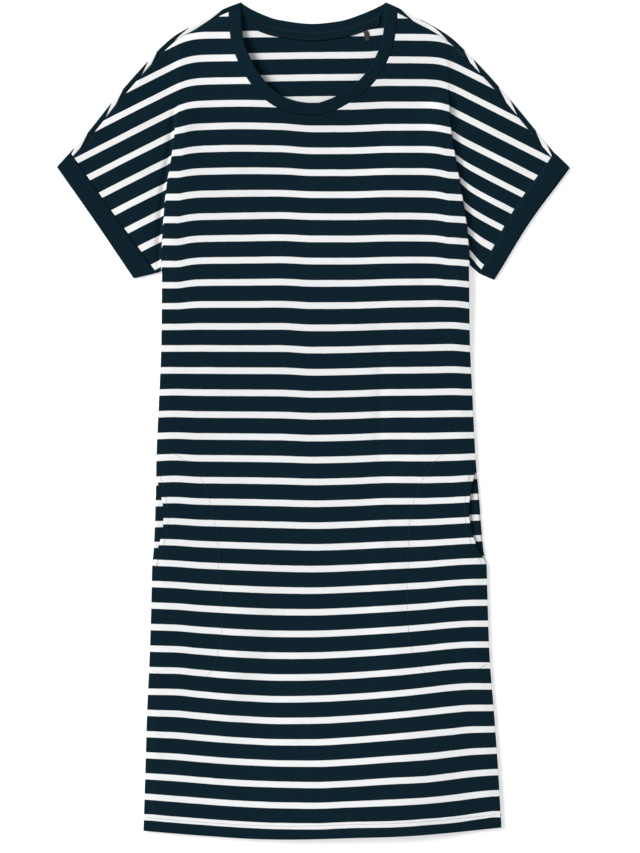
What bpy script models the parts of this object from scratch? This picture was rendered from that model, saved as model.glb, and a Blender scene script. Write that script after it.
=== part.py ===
"""A striped jersey nightshirt laid flat on its back, with the sleeves drawn down at the sides.

Front and back are each cut in one with their short sleeves. Drawing the sleeves down
tucks the spare cloth of each underarm between the body's two layers. The back wraps over
the shoulders to a seam just in front of them. X runs across, Y from hem to neck, Z up.
Lengths are millimetres until a mesh is made. In the tables `out` is a distance from the
middle line, `height` one above the lowest point of the hem, and left and right are as seen.
"""

import math

import bmesh
import bpy
import numpy as np

NAME = "nightshirt"
MM = 0.001
LEFT, RIGHT = 0, 1
SIGN = (-1.0, 1.0)

# The cloth
WALL = 1.0
GAP = 0.3
LAYER = WALL + GAP
TURN = LAYER / 2
FOLD_REACH = TURN + WALL / 2
TURN_STEPS = 3
WELD = 0.00002
SAMPLES = 200
NEAREST = 1.0

# Neck end of the shoulder to the lowest point of the hem
LENGTH = 1000.0

# Cloth stays lifted for a while past the edge of what lifts it, and then comes down
LIFTED = 14.0
COMES_DOWN = 26.0

# height, left out, right out: the edge of the body, hem to shoulder
BODY_EDGE = (
    (11, 203.0, 224.5),
    (75, 201.0, 220.0),
    (145, 199.0, 215.5),
    (225, 195.5, 210.0),
    (290, 193.5, 208.0),
    (328, 192.7, 206.9),
    (345, 191.0, 203.2),
    (410, 188.5, 197.5),
    (460, 187.5, 192.7),
    (525, 184.5, 189.0),
    (600, 181.5, 185.5),
    (690, 180.5, 185.5),
    (720, 179.3, 183.6),
    (770, 175.5, 176.6),
    (825, 167.0, 167.0),
    (855, 163.4, 162.8),
    (880, 160.0, 161.4),
    (960, 160.0, 158.0),
)

# across, height: the folded edge of the hem
HEM_LINE = (
    (-203.0, 11.0),
    (-136.0, 6.0),
    (-64.0, 1.5),
    (5.0, 0.0),
    (99.0, 4.0),
    (160.0, 8.5),
    (224.5, 14.5),
)
HEM_TURNED = 15.0

# out, left drop, right drop: shoulder and upper arm, from the neck to the cuff's free edge
SHOULDER = (
    (84.5, 0.0, 0.0),
    (100.0, 5.0, 6.0),
    (125.0, 16.5, 19.0),
    (145.0, 28.5, 29.5),
    (165.0, 39.5, 43.0),
    (185.0, 57.0, 62.5),
    (206.0, 80.0, 84.0),
    (240.0, 119.0, 122.0),
    (268.0, 154.5, 156.0),
    (290.0, 179.5, 182.0),
    (306.8, 196.5, 197.5),
)
SHOULDER_SEAM = 6.0

# across, drop: the seam of the neckband on the front, and on the back
FRONT_NECK = (
    (-99.9, -8.0),
    (-101.4, 10.0),
    (-99.0, 43.0),
    (-89.5, 72.0),
    (-74.0, 98.5),
    (-56.0, 118.0),
    (-35.5, 129.5),
    (-15.0, 134.5),
    (2.0, 135.8),
    (23.0, 130.5),
    (45.0, 119.0),
    (65.5, 103.5),
    (84.0, 79.0),
    (97.0, 45.0),
    (100.7, 11.0),
    (100.0, -8.0),
)
BACK_NECK = (
    (-108.0, 2.0),
    (-101.0, 7.0),
    (-92.5, 14.0),
    (-71.5, 25.5),
    (-45.0, 34.8),
    (-1.0, 40.0),
    (34.0, 36.5),
    (61.5, 28.0),
    (92.0, 14.0),
    (100.4, 8.0),
    (108.0, 2.0),
)
BAND_WIDTH = 15.0
BAND_FRONT_LEVEL = 2.0
FRONT_CORNER = 0.34
BACK_CORNER = 0.16

# The tuck that each underarm makes
TUCK_START = (879.5, 893.0)
UNDERARM = (679.0, 686.0)
TUCK_DEPTH = 46.0
TUCK_FOLDED = 20.0
TUCK_FLAT = 14.0
TUCK_FADES = 34.0
SLEEVE_START = 2.5
SLEEVE_START_RUN = 8.0
SLEEVE_SLOPE = 7.5

# left out, left height, right out, right height: the corners of the cuffs
CUFF_SEAM_TOP = (290.1, 820.4, 287.5, 821.0)
CUFF_SEAM_BOTTOM = (190.9, 680.5, 197.7, 676.5)
CUFF_EDGE_TOP = (306.8, 803.8, 306.8, 803.0)
CUFF_EDGE_BOTTOM = (214.8, 670.4, 216.0, 668.5)
CUFF_WALL = 1.2
CUFF_GAP = 0.4
CUFF_POINTS = 9
CUFF_ROUND = 4

# top height, bottom height, depth: the pocket mouths, cut back from the body's edge
MOUTH = ((433.0, 331.0, 10.3), (444.5, 329.0, 13.4))

# height, left inset, right inset: the stitching round the pocket bags, from the body's edge
POCKET_STITCH = (
    (463, 18.0, 36.0),
    (452, 35.0, 49.0),
    (434, 52.0, 63.0),
    (407, 64.0, 77.0),
    (380, 71.0, 85.0),
    (352, 76.5, 89.0),
    (325, 79.5, 94.0),
    (270, 85.0, 96.0),
    (245, 85.0, 95.5),
    (227, 82.0, 92.0),
    (203, 76.0, 81.0),
    (193, 66.0, 70.0),
)
POCKET_ALLOWANCE = 5.0
POCKET_TOP = 465.0
POCKET_FOOT = (200.0, 208.0)
POCKET_SAG = 12.0
POCKET_ROWS = 13
POCKET_COLUMNS = 6

TAPE_WIDTH = 10.5
TAPE_RISE = 5.0
TAPE_ENDS = (-77.0, 73.0)
TAPE_POINTS = 15
TAB_WIDTH = 5.0
TAB_LENGTH = 11.5
TAB_PLACE = 62.5

# Rows of the panels, as heights on the body's edge or distances below the tuck's start
ROWS_ABOVE_TUCK = 3
TUCK_ROWS = (5, 10, 15, 20, 38, 58, 85, 115, 145, 175)
CORNER_AT = ROWS_ABOVE_TUCK + 1 + TUCK_ROWS.index(58)
FRONT_ROWS = (664, 645, 615, 570, 525, 490, 470, 455, 444, 434, 424, 412, 400, 388, 376, 364,
              352, 342, 331, 322, 295, 250, 210, 185, 160, 110, 62, 42, 26)
BACK_ROWS = (640, 560, 480, 400, 320, 240, 160, 80, 30)
SLEEVE_COLUMNS = 7
SLEEVE_CROWDING = 1.15
SHOULDER_COLUMNS = 6
FRONT_NECK_COLUMNS = 12
BACK_NECK_COLUMNS = 7

NAVY = (0.010, 0.022, 0.032)
STRIPED = (0.075, 0.088, 0.100)


def ease(t):
    """Smooth step from 0 to 1 as t goes from 0 to 1."""
    t = np.clip(t, 0.0, 1.0)
    return t * t * (3.0 - 2.0 * t)


def through(x, y, at):
    """Monotone cubic curve through the points x, y, read at the places `at`."""
    x = np.asarray(x, float)
    y = np.asarray(y, float)
    step = np.diff(x)
    slope = np.diff(y) / step
    tangent = np.zeros_like(y)
    tangent[0] = slope[0]
    tangent[-1] = slope[-1]
    same = slope[:-1] * slope[1:] > 0
    harmonic = 2.0 * slope[:-1] * slope[1:] / np.where(same, slope[:-1] + slope[1:], 1.0)
    tangent[1:-1] = np.where(same, harmonic, 0.0)
    at = np.clip(np.asarray(at, float), x[0], x[-1])
    i = np.clip(np.searchsorted(x, at) - 1, 0, len(step) - 1)
    t = (at - x[i]) / step[i]
    return (y[i] * (1 + 2 * t) * (1 - t) ** 2 + y[i + 1] * t * t * (3 - 2 * t)
            + step[i] * (tangent[i] * t * (1 - t) ** 2 - tangent[i + 1] * t * t * (1 - t)))


def column(table, place):
    """One column of a table, by its place in the row."""
    return [row[place] for row in table]


def along(points, fractions):
    """Points at the given fractions of a polyline's length."""
    run = np.concatenate([[0.0], np.cumsum(np.linalg.norm(np.diff(points, axis=0), axis=1))])
    place = np.asarray(fractions) * run[-1]
    return np.stack([np.interp(place, run, points[:, k]) for k in range(points.shape[1])], axis=1)


def smooth_line(table):
    """Dense smooth line through a table of points."""
    points = np.array(table, float)
    run = np.concatenate([[0.0], np.cumsum(np.linalg.norm(np.diff(points, axis=0), axis=1))])
    place = np.linspace(0.0, run[-1], SAMPLES)
    return np.stack([through(run, points[:, k], place) for k in range(2)], axis=1)


def offset(line, distance):
    """A line moved to its left by a distance."""
    way = np.gradient(line, axis=0)
    way /= np.linalg.norm(way, axis=1)[:, None]
    return line + distance * np.stack([-way[:, 1], way[:, 0]], axis=1)


def patch(left, right, top, bottom):
    """Grid that fills four sides: left and right run down, top and bottom run across."""
    def share(first, second):
        runs = []
        for side in (first, second):
            steps = np.linalg.norm(np.diff(side[:, :2], axis=0), axis=1)
            runs.append(np.concatenate([[0.0], np.cumsum(steps)]) / max(steps.sum(), 1e-9))
        return (runs[0] + runs[1]) / 2
    v = share(left, right)[:, None, None]
    u = share(top, bottom)[None, :, None]
    across = (1 - u) * left[:, None] + u * right[:, None]
    down = (1 - v) * top[None] + v * bottom[None]
    corners = ((1 - v) * ((1 - u) * top[0] + u * top[-1])
               + v * ((1 - u) * bottom[0] + u * bottom[-1]))
    return across + down - corners


def flat(points, height):
    """Plan points with a height for each."""
    return np.concatenate([points, np.broadcast_to(height, points.shape[:-1])[..., None]], axis=-1)


def body_edge(side, height):
    """Distance from the middle line to the body's edge."""
    return through(column(BODY_EDGE, 0), column(BODY_EDGE, 1 + side), height)


def hem_height(across):
    """Height of the hem's folded edge."""
    return through(column(HEM_LINE, 0), column(HEM_LINE, 1), across)


def mouth_inset(side, height):
    """How far the front's edge is drawn in at the pocket mouth."""
    top, bottom, depth = MOUTH[side]
    t = np.clip((top - height) / (top - bottom), 0.0, 1.0)
    return depth * np.sin(math.pi * t)


def shoulder_line(side, inset):
    """Shoulder and upper arm from the neck to the cuff's edge, moved in by an inset."""
    out = np.linspace(SHOULDER[0][0], SHOULDER[-1][0], SAMPLES)
    drop = through(column(SHOULDER, 0), column(SHOULDER, 1 + side), out)
    line = np.stack([SIGN[side] * out, LENGTH - drop], axis=1)
    return offset(line, -SIGN[side] * inset)


def meet(line, room):
    """Stretch of a line where `room` is above 0, ended where it passes 0."""
    inside = np.flatnonzero(room > 0)
    first, last = inside[0], inside[-1]
    kept = [line[first:last + 1]]
    if first > 0:
        share = room[first] / (room[first] - room[first - 1])
        kept.insert(0, (line[first] + share * (line[first - 1] - line[first]))[None])
    if last < len(line) - 1:
        share = room[last] / (room[last] - room[last + 1])
        kept.append((line[last] + share * (line[last + 1] - line[last]))[None])
    return np.concatenate(kept)


def neck_line(table, inset, shoulder_inset):
    """Neckband seam from left to right, moved inwards, between lines along the shoulders."""
    line = smooth_line(table)
    line[:, 1] = LENGTH - line[:, 1]
    line = offset(line, inset)
    ceiling = np.zeros(len(line))
    for side in (LEFT, RIGHT):
        shoulder = shoulder_line(side, shoulder_inset)
        on_side = line[:, 0] * SIGN[side] >= 0
        height = np.interp(np.abs(line[:, 0]), np.abs(shoulder[:, 0]), shoulder[:, 1])
        ceiling = np.where(on_side, height, ceiling)
    return meet(line, ceiling - line[:, 1])


def tuck_turn(side, height):
    """Angle through which the tuck's folds have turned: none at its start, then a half turn."""
    below = TUCK_START[side] - height
    return math.pi * ease(below / TUCK_FOLDED)


def tuck_depth(side, height):
    """How far in the tuck reaches from the body's edge."""
    long_way = TUCK_START[side] - UNDERARM[side] - TUCK_FLAT
    below = TUCK_START[side] - height - TUCK_FLAT
    return TUCK_DEPTH * np.clip(below / long_way, 0.0, 1.0)


def tuck_rise(side, height):
    """Height that one pair of folds adds."""
    turn = tuck_turn(side, height)
    ending = 1.0 - ease((UNDERARM[side] - height) / TUCK_FADES)
    return (2 * TURN * (1 - np.cos(turn)) + tuck_depth(side, height) * np.sin(turn)) * ending


def sleeve_start(side, height):
    """Distance past the body's edge at which the sleeve comes out from under it."""
    return SLEEVE_START * ease((TUCK_START[side] - height) / SLEEVE_START_RUN)


def sleeve_lift(points, side):
    """Height that the sleeve keeps beside the body, falling away outwards."""
    beyond = SIGN[side] * points[..., 0] - body_edge(side, points[..., 1])
    falling = 1.0 - ease((beyond - SLEEVE_START) / SLEEVE_SLOPE)
    return tuck_rise(side, points[..., 1]) * falling


def lifted(past):
    """Share of its lift that cloth keeps at a distance past the edge of what lifts it."""
    return 1.0 - ease((past - LIFTED) / COMES_DOWN)


def front_height(points):
    """Height of the front's middle surface over tucks, pocket bags and turned hem."""
    x = points[..., 0]
    y = points[..., 1]
    rise = 2 * LAYER * lifted(y - hem_height(x) - HEM_TURNED)
    for side in (LEFT, RIGHT):
        inland = body_edge(side, y) - SIGN[side] * x
        rise = rise + 2 * tuck_rise(side, y) * lifted(inland - tuck_depth(side, y))
        heights = column(POCKET_STITCH, 0)[::-1]
        inset = through(heights, column(POCKET_STITCH, 1 + side)[::-1], y) + POCKET_ALLOWANCE
        over_bag = lifted(inland - inset) * lifted(y - POCKET_TOP)
        rise = rise + LAYER * over_bag * lifted(heights[0] - POCKET_SAG - y)
    return WALL / 2 + LAYER + rise


def back_neck_line(inset):
    """Back seam of the neckband, which starts and ends where the front's does."""
    line = neck_line(BACK_NECK, inset, FOLD_REACH)
    first, last = neck_line(FRONT_NECK, inset, FOLD_REACH)[[0, -1]]
    between = line[(line[:, 0] > first[0] + NEAREST) & (line[:, 0] < last[0] - NEAREST)]
    return np.concatenate([first[None], between, last[None]])


def half_turn(start, outward, radius, up, angle=math.pi, steps=TURN_STEPS):
    """Points of a fold past `start`, turning up or down and back, its start left out."""
    turns = np.linspace(0.0, 1.0, steps + 1)[1:]
    points = []
    for t in turns:
        theta = t * angle
        step = np.zeros_like(start)
        step[..., :2] = outward * np.asarray(radius * np.sin(theta))[..., None]
        step[..., 2] = up * radius * (1 - np.cos(theta))
        points.append(start + step)
    return points


def tuck_rows(side, edge, up):
    """Tuck from the body's edge in under the body and out again to the start of the sleeve."""
    height = edge[:, 1]
    turn = tuck_turn(side, height)
    depth = tuck_depth(side, height)
    outward = np.array([SIGN[side], 0.0])
    first = half_turn(edge, outward, TURN, up, turn)
    corner = first[-1].copy()
    corner[:, 0] += SIGN[side] * depth * np.cos(turn)
    corner[:, 2] += up * depth * np.sin(turn)
    second = []
    for t in np.linspace(1.0, 0.0, TURN_STEPS + 1)[1:]:
        theta = t * turn
        point = corner.copy()
        point[:, 0] += SIGN[side] * TURN * (np.sin(turn) - np.sin(theta))
        point[:, 2] += up * TURN * (np.cos(theta) - np.cos(turn))
        second.append(point)
    last = second[-1].copy()
    last[:, 0] = SIGN[side] * (body_edge(side, height) + sleeve_start(side, height))
    return np.stack([edge] + first + [corner] + second + [last], axis=1)


class Sheet:
    """Open surface put together from grids of points, which are welded where they meet."""

    def __init__(self):
        self.mesh = bmesh.new()

    def add(self, grid, closed=False):
        """Join a grid of points with quads; a closed grid's last row meets its first."""
        rows = [[self.mesh.verts.new(point * MM) for point in row] for row in grid]
        pairs = list(zip(rows[:-1], rows[1:]))
        if closed:
            pairs.append((rows[-1], rows[0]))
        for near, far in pairs:
            for k in range(len(near) - 1):
                self.mesh.faces.new((near[k], near[k + 1], far[k + 1], far[k]))

    def fan(self, apex, row):
        """Join one point to a row of points."""
        centre = self.mesh.verts.new(apex * MM)
        rim = [self.mesh.verts.new(point * MM) for point in row]
        for k in range(len(rim) - 1):
            self.mesh.faces.new((centre, rim[k], rim[k + 1]))

    def finish(self, name, wall, colour, collection):
        """Weld the grids, give the sheet its wall and its colour, and name it."""
        bmesh.ops.remove_doubles(self.mesh, verts=self.mesh.verts[:], dist=WELD)
        bmesh.ops.recalc_face_normals(self.mesh, faces=self.mesh.faces[:])
        data = bpy.data.meshes.new(name)
        self.mesh.to_mesh(data)
        self.mesh.free()
        data.shade_smooth()
        piece = bpy.data.objects.new(name, data)
        collection.objects.link(piece)
        piece.location = (0.0, -LENGTH / 2 * MM, 0.0)
        solid = piece.modifiers.new("wall", "SOLIDIFY")
        solid.thickness = wall * MM
        solid.offset = 0.0
        solid.use_even_offset = True
        solid.use_quality_normals = True
        piece.data.materials.append(cloth(name, colour))
        return piece


def cloth(name, colour):
    """Matt jersey of one colour."""
    material = bpy.data.materials.new(name + "_jersey")
    material.use_nodes = True
    surface = material.node_tree.nodes["Principled BSDF"]
    surface.inputs["Base Color"].default_value = (*colour, 1.0)
    surface.inputs["Roughness"].default_value = 0.9
    surface.inputs["Metallic"].default_value = 0.0
    return material


def top_of(line, out):
    """Height of a shoulder line at a distance from the middle."""
    return float(np.interp(out, np.abs(line[:, 0]), line[:, 1]))


def panel_sides(side, shoulder_inset, rows, inset):
    """Points down the body's edge: above the tuck, along it, and on to the hem."""
    start = TUCK_START[side]
    out = float(body_edge(side, LENGTH))
    top = top_of(shoulder_line(side, FOLD_REACH), out)
    heights = list(np.linspace(top, start, ROWS_ABOVE_TUCK + 1))
    heights += [start - below for below in TUCK_ROWS] + [UNDERARM[side]]
    heights += list(rows)
    heights[0] = top_of(shoulder_line(side, shoulder_inset), out)
    heights = np.array(heights)
    edge = np.stack([SIGN[side] * (body_edge(side, heights) - inset(side, heights)), heights], axis=1)
    corner = np.array([SIGN[side] * BODY_EDGE[0][1 + side], 0.0])
    corner[1] = hem_height(corner[0]) + FOLD_REACH
    return np.concatenate([edge, [corner]])


def no_inset(side, height):
    """An edge that follows the body's edge."""
    return 0.0 * height


def corner_of(side, row):
    """One corner of a cuff as a point."""
    return np.array([SIGN[side] * row[2 * side], row[2 * side + 1]])


def overarm(side, inset, start, columns):
    """Points along the upper arm, from the body's edge to the seam of the cuff."""
    line = shoulder_line(side, inset)
    line = np.concatenate([start[None], line[np.abs(line[:, 0]) > abs(start[0]) + NEAREST]])
    top = corner_of(side, CUFF_SEAM_TOP)
    way = corner_of(side, CUFF_SEAM_BOTTOM) - top
    inwards = np.array([-way[1], way[0]]) * SIGN[side] * -1.0 / np.linalg.norm(way)
    room = (line - top) @ inwards - GAP / 2
    return along(meet(line, room), np.linspace(0, 1, columns + 1))


def sleeve_and_tuck(sheet, side, edge, edge_height, inset, level, up):
    """Sleeve of one side with the tuck that joins it to the body; returns its top row."""
    first = ROWS_ABOVE_TUCK
    last = first + len(TUCK_ROWS) + 1
    solid_edge = flat(edge, edge_height)
    folds = tuck_rows(side, solid_edge[first + 1:last + 1], up)
    sheet.add(folds)
    sheet.fan(solid_edge[first], folds[0])
    fold_start = edge[0].copy()
    fold_start[1] = top_of(shoulder_line(side, FOLD_REACH), abs(fold_start[0]))
    top = overarm(side, FOLD_REACH, fold_start, SLEEVE_COLUMNS)
    inner = np.concatenate([[fold_start], edge[1:first + 1], folds[:, -1, :2]])
    seam_end = corner_of(side, CUFF_SEAM_BOTTOM)
    shares = np.linspace(0, 1, len(inner)) ** SLEEVE_CROWDING
    cuff_seam = top[-1] + (seam_end - top[-1]) * shares[:, None]
    bottom = along(np.stack([inner[-1], cuff_seam[-1]]), np.linspace(0, 1, SLEEVE_COLUMNS + 1))
    grid = patch(inner, cuff_seam, top, bottom)
    grid[0] = overarm(side, inset, edge[0], SLEEVE_COLUMNS)
    height = level + sleeve_lift(grid, side)
    height[:first + 1, 0] = edge_height[:first + 1]
    height[first + 1:, 0] = folds[:, -1, 2]
    sheet.add(flat(grid, height))
    return flat(grid, height)[0]


def shoulder_row(side, inset, neck_corner, start):
    """Points along a shoulder from the neck to the body's edge, both ends given."""
    line = shoulder_line(side, inset)
    out = np.abs(line[:, 0])
    between = line[(out > abs(neck_corner[0]) + NEAREST) & (out < abs(start[0]) - NEAREST)]
    return along(np.concatenate([neck_corner[None], between, start[None]]),
                 np.linspace(0, 1, SHOULDER_COLUMNS + 1))


def neck_shares(corner_share, neck_columns):
    """Shares of a neckline's length at which a panel and the neckband both have points."""
    beside = np.linspace(0, corner_share, CORNER_AT + 1)
    below = np.linspace(corner_share, 1 - corner_share, neck_columns + 1)
    return np.concatenate([beside, below[1:-1], 1 - beside[::-1]])


def panel(neck, shares, shoulder_inset, rows, height_of, up, inset):
    """Front or back: shoulders, body, sleeves, tucks and turned hem in one sheet."""
    sheet = Sheet()
    edges = [panel_sides(side, shoulder_inset, rows, inset) for side in (LEFT, RIGHT)]
    points = along(neck, shares)
    tops = []
    shoulder_rows = []
    for side in (LEFT, RIGHT):
        edge = edges[side]
        beside_neck = points[:CORNER_AT + 1] if side == LEFT else points[::-1][:CORNER_AT + 1]
        top = shoulder_row(side, shoulder_inset, beside_neck[0], edge[0])[::-1]
        bottom = along(np.stack([edge[CORNER_AT], beside_neck[-1]]), np.linspace(0, 1, len(top)))
        grid = patch(edge[:CORNER_AT + 1], beside_neck, top, bottom)
        sheet.add(flat(grid, height_of(grid)))
        tops.append(bottom)
        level = float(height_of(top[:1])[0])
        sleeve_top = sleeve_and_tuck(sheet, side, edge, height_of(edge), shoulder_inset, level, up)
        shoulder_rows.append(np.concatenate([flat(top, level)[::-1], sleeve_top[1:]]))
    top = np.concatenate([tops[LEFT], points[CORNER_AT + 1:-CORNER_AT - 1], tops[RIGHT][::-1]])
    hem_x = np.linspace(edges[LEFT][-1, 0], edges[RIGHT][-1, 0], len(top))
    hem = np.stack([hem_x, hem_height(hem_x) + FOLD_REACH], axis=1)
    grid = patch(edges[LEFT][CORNER_AT:], edges[RIGHT][CORNER_AT:], top, hem)
    solid_grid = flat(grid, height_of(grid))
    sheet.add(solid_grid)
    turned = half_turn(solid_grid[-1], np.array([0.0, -1.0]), TURN, up)
    flap = turned[-1] + np.array([0.0, HEM_TURNED, 0.0])
    sheet.add(np.stack([solid_grid[-1]] + turned + [flap]))
    return sheet, shoulder_rows


def front_panel(collection):
    """Front with its sleeves, under a seam in front of each shoulder."""
    inset = SHOULDER_SEAM + GAP / 2
    neck = neck_line(FRONT_NECK, -GAP / 2, inset)
    shares = neck_shares(FRONT_CORNER, FRONT_NECK_COLUMNS)
    sheet, _ = panel(neck, shares, inset, FRONT_ROWS, front_height, -1, mouth_inset)
    return sheet.finish("front_panel", WALL, STRIPED, collection)


def back_height(points):
    """Height of the back's middle surface, which lies flat on what the garment lies on."""
    return np.full(points.shape[:-1], WALL / 2)


def back_panel(collection):
    """Back with its sleeves, wrapped over each shoulder to the seam."""
    shares = neck_shares(BACK_CORNER, BACK_NECK_COLUMNS)
    sheet, shoulder_rows = panel(back_neck_line(-GAP / 2), shares, FOLD_REACH, BACK_ROWS,
                                 back_height, 1, no_inset)
    seam = SHOULDER_SEAM - GAP / 2
    neck_corners = neck_line(FRONT_NECK, -GAP / 2, seam)[[0, -1]]
    for side in (LEFT, RIGHT):
        row = shoulder_rows[side]
        way = np.gradient(row[:, :2], axis=0)
        way /= np.linalg.norm(way, axis=1)[:, None]
        outward = np.stack([-way[:, 1], way[:, 0]], axis=1) * SIGN[side]
        over = half_turn(row, outward, TURN, 1)
        start = row[SHOULDER_COLUMNS, :2].copy()
        start[1] = top_of(shoulder_line(side, seam), abs(start[0]))
        flap = np.concatenate([shoulder_row(side, seam, neck_corners[side], start),
                               overarm(side, seam, start, SLEEVE_COLUMNS)[1:]])
        sheet.add(np.stack([row] + over + [flat(flap, over[-1][0, 2])]))
    return sheet.finish("back_panel", WALL, STRIPED, collection)


def band_half(seam, free, shares, level):
    """Front or back half of the neckband, from the left shoulder to the right."""
    seam = along(seam, shares)
    free = along(free, shares)
    return flat(np.stack([seam, (seam + free) / 2, free], axis=1), level)


def neckband(collection):
    """Doubled band: over the front, folded at the shoulders, and round under the back."""
    front_lines = [neck_line(FRONT_NECK, inset, FOLD_REACH) for inset in (GAP / 2, BAND_WIDTH)]
    back_lines = [back_neck_line(inset) for inset in (GAP / 2, BAND_WIDTH)]
    front = band_half(*front_lines, neck_shares(FRONT_CORNER, FRONT_NECK_COLUMNS), BAND_FRONT_LEVEL)
    back = band_half(*back_lines, neck_shares(BACK_CORNER, BACK_NECK_COLUMNS), WALL / 2)[::-1]
    turn = (BAND_FRONT_LEVEL - WALL / 2) / 2
    folds = []
    for station, up in ((front[-1], -1), (back[-1], 1)):
        way = station[0, :2] - station[-1, :2]
        outward = np.array([-way[1], way[0]]) / np.linalg.norm(way)
        outward *= math.copysign(1.0, outward[1])
        folds.append(np.stack(half_turn(station, outward, turn, up)[:-1]))
    sheet = Sheet()
    sheet.add(np.concatenate([front, folds[0], back, folds[1]]), closed=True)
    return sheet.finish("neckband", WALL, NAVY, collection)


def neck_tape(collection):
    """Narrow tape over the back neck seam, lying on band and back alike."""
    level = WALL / 2 + LAYER
    rows = []
    for inset in (TAPE_RISE, TAPE_RISE - TAPE_WIDTH):
        line = neck_line(BACK_NECK, inset, FOLD_REACH)
        kept = line[(line[:, 0] > TAPE_ENDS[LEFT]) & (line[:, 0] < TAPE_ENDS[RIGHT])]
        rows.append(flat(along(kept, np.linspace(0, 1, TAPE_POINTS)), level))
    sheet = Sheet()
    sheet.add(np.stack(rows))
    return sheet.finish("neck_tape", WALL, NAVY, collection)


def neck_tab(collection):
    """Small plain loop tab that hangs from the tape's lower edge."""
    line = neck_line(BACK_NECK, TAPE_RISE - TAPE_WIDTH - GAP, FOLD_REACH)
    sheet = Sheet()
    level = WALL / 2 + LAYER
    across = np.array([TAB_PLACE - TAB_WIDTH / 2, TAB_PLACE + TAB_WIDTH / 2])
    top = np.interp(across, line[:, 0], line[:, 1])
    rows = [np.stack([across, top - down], axis=1) for down in (0.0, TAB_LENGTH)]
    sheet.add(np.stack([flat(row, level) for row in rows]))
    return sheet.finish("neck_tab", WALL, NAVY, collection)


def cuff(side, name, collection):
    """Doubled ring, pressed flat, on the end of one sleeve."""
    turn = (CUFF_WALL + CUFF_GAP) / 2
    reach = turn + CUFF_WALL / 2
    low = CUFF_WALL / 2
    rings = []
    inner = (corner_of(side, CUFF_SEAM_TOP), corner_of(side, CUFF_SEAM_BOTTOM))
    outer = (corner_of(side, CUFF_EDGE_TOP), corner_of(side, CUFF_EDGE_BOTTOM))
    for share in (0.0, 0.5, 1.0):
        top = inner[0] + (outer[0] - inner[0]) * share
        bottom = inner[1] + (outer[1] - inner[1]) * share
        if share == 0.0:
            outwards = (outer[0] + outer[1] - inner[0] - inner[1]) / 2
            shift = outwards / np.linalg.norm(outwards) * GAP / 2
            top, bottom = top + shift, bottom + shift
        way = (bottom - top) / np.linalg.norm(bottom - top)
        ends = np.stack([top + way * reach, bottom - way * reach])
        run = along(ends, np.linspace(0, 1, CUFF_POINTS))
        front = flat(run, low + 2 * turn)
        back = flat(run[::-1], low)
        round_bottom = half_turn(front[-1], way, turn, -1, steps=CUFF_ROUND)[:-1]
        round_top = half_turn(back[-1], -way, turn, 1, steps=CUFF_ROUND)[:-1]
        rings.append(np.concatenate([front, round_bottom, back, round_top]))
    sheet = Sheet()
    sheet.add(np.stack(rings, axis=1), closed=True)
    return sheet.finish(name, CUFF_WALL, NAVY, collection)


def pocket(side, name, collection):
    """Single layer of cloth inside the front, from the side seam to the stitched curve."""
    foot = POCKET_FOOT[side]
    heights = np.linspace(POCKET_TOP, foot, POCKET_ROWS)
    edge = np.stack([SIGN[side] * body_edge(side, heights), heights], axis=1)
    table = np.array([(row[0], row[1 + side]) for row in POCKET_STITCH])
    curve = smooth_line(table)
    curve[:, 1] += POCKET_ALLOWANCE
    curve = along(curve, np.linspace(0, 1, POCKET_ROWS))
    inner_out = body_edge(side, curve[:, 0]) - curve[:, 1]
    inner = np.stack([SIGN[side] * inner_out, curve[:, 0]], axis=1)
    shares = np.linspace(0, 1, POCKET_COLUMNS)
    top = along(np.stack([edge[0], inner[0]]), shares)
    bottom = along(np.stack([edge[-1], inner[-1]]), shares)
    bottom[:, 1] -= POCKET_SAG * np.sin(math.pi * shares)
    sheet = Sheet()
    grid = patch(edge, inner, top, bottom)
    sheet.add(flat(grid, WALL / 2 + LAYER))
    return sheet.finish(name, WALL, STRIPED, collection)


def clear_scene():
    """Start from an empty scene."""
    for item in list(bpy.data.objects):
        bpy.data.objects.remove(item, do_unlink=True)


def build():
    """Make every piece of the nightshirt."""
    clear_scene()
    collection = bpy.data.collections.new(NAME)
    bpy.context.scene.collection.children.link(collection)
    back_panel(collection)
    front_panel(collection)
    neckband(collection)
    neck_tape(collection)
    neck_tab(collection)
    cuff(LEFT, "cuff_left", collection)
    cuff(RIGHT, "cuff_right", collection)
    pocket(LEFT, "pocket_left", collection)
    pocket(RIGHT, "pocket_right", collection)


build()
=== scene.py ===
# %% [markdown]
# # A striped nightshirt, laid flat
#
# The real object is a knee-length jersey nightshirt that lies face up on a pale surface, with
# its short sleeves drawn down at the sides. Everything here is cloth, so nearly every piece is
# one thin sheet. The sheets could be simulated, but a garment that was smoothed out by hand has
# a shape that is easier to say than to find: flat layers, a few folds and some soft creases.
# So each sheet is a function from two parameters to a point, worked out with whole arrays.

import math

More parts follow.
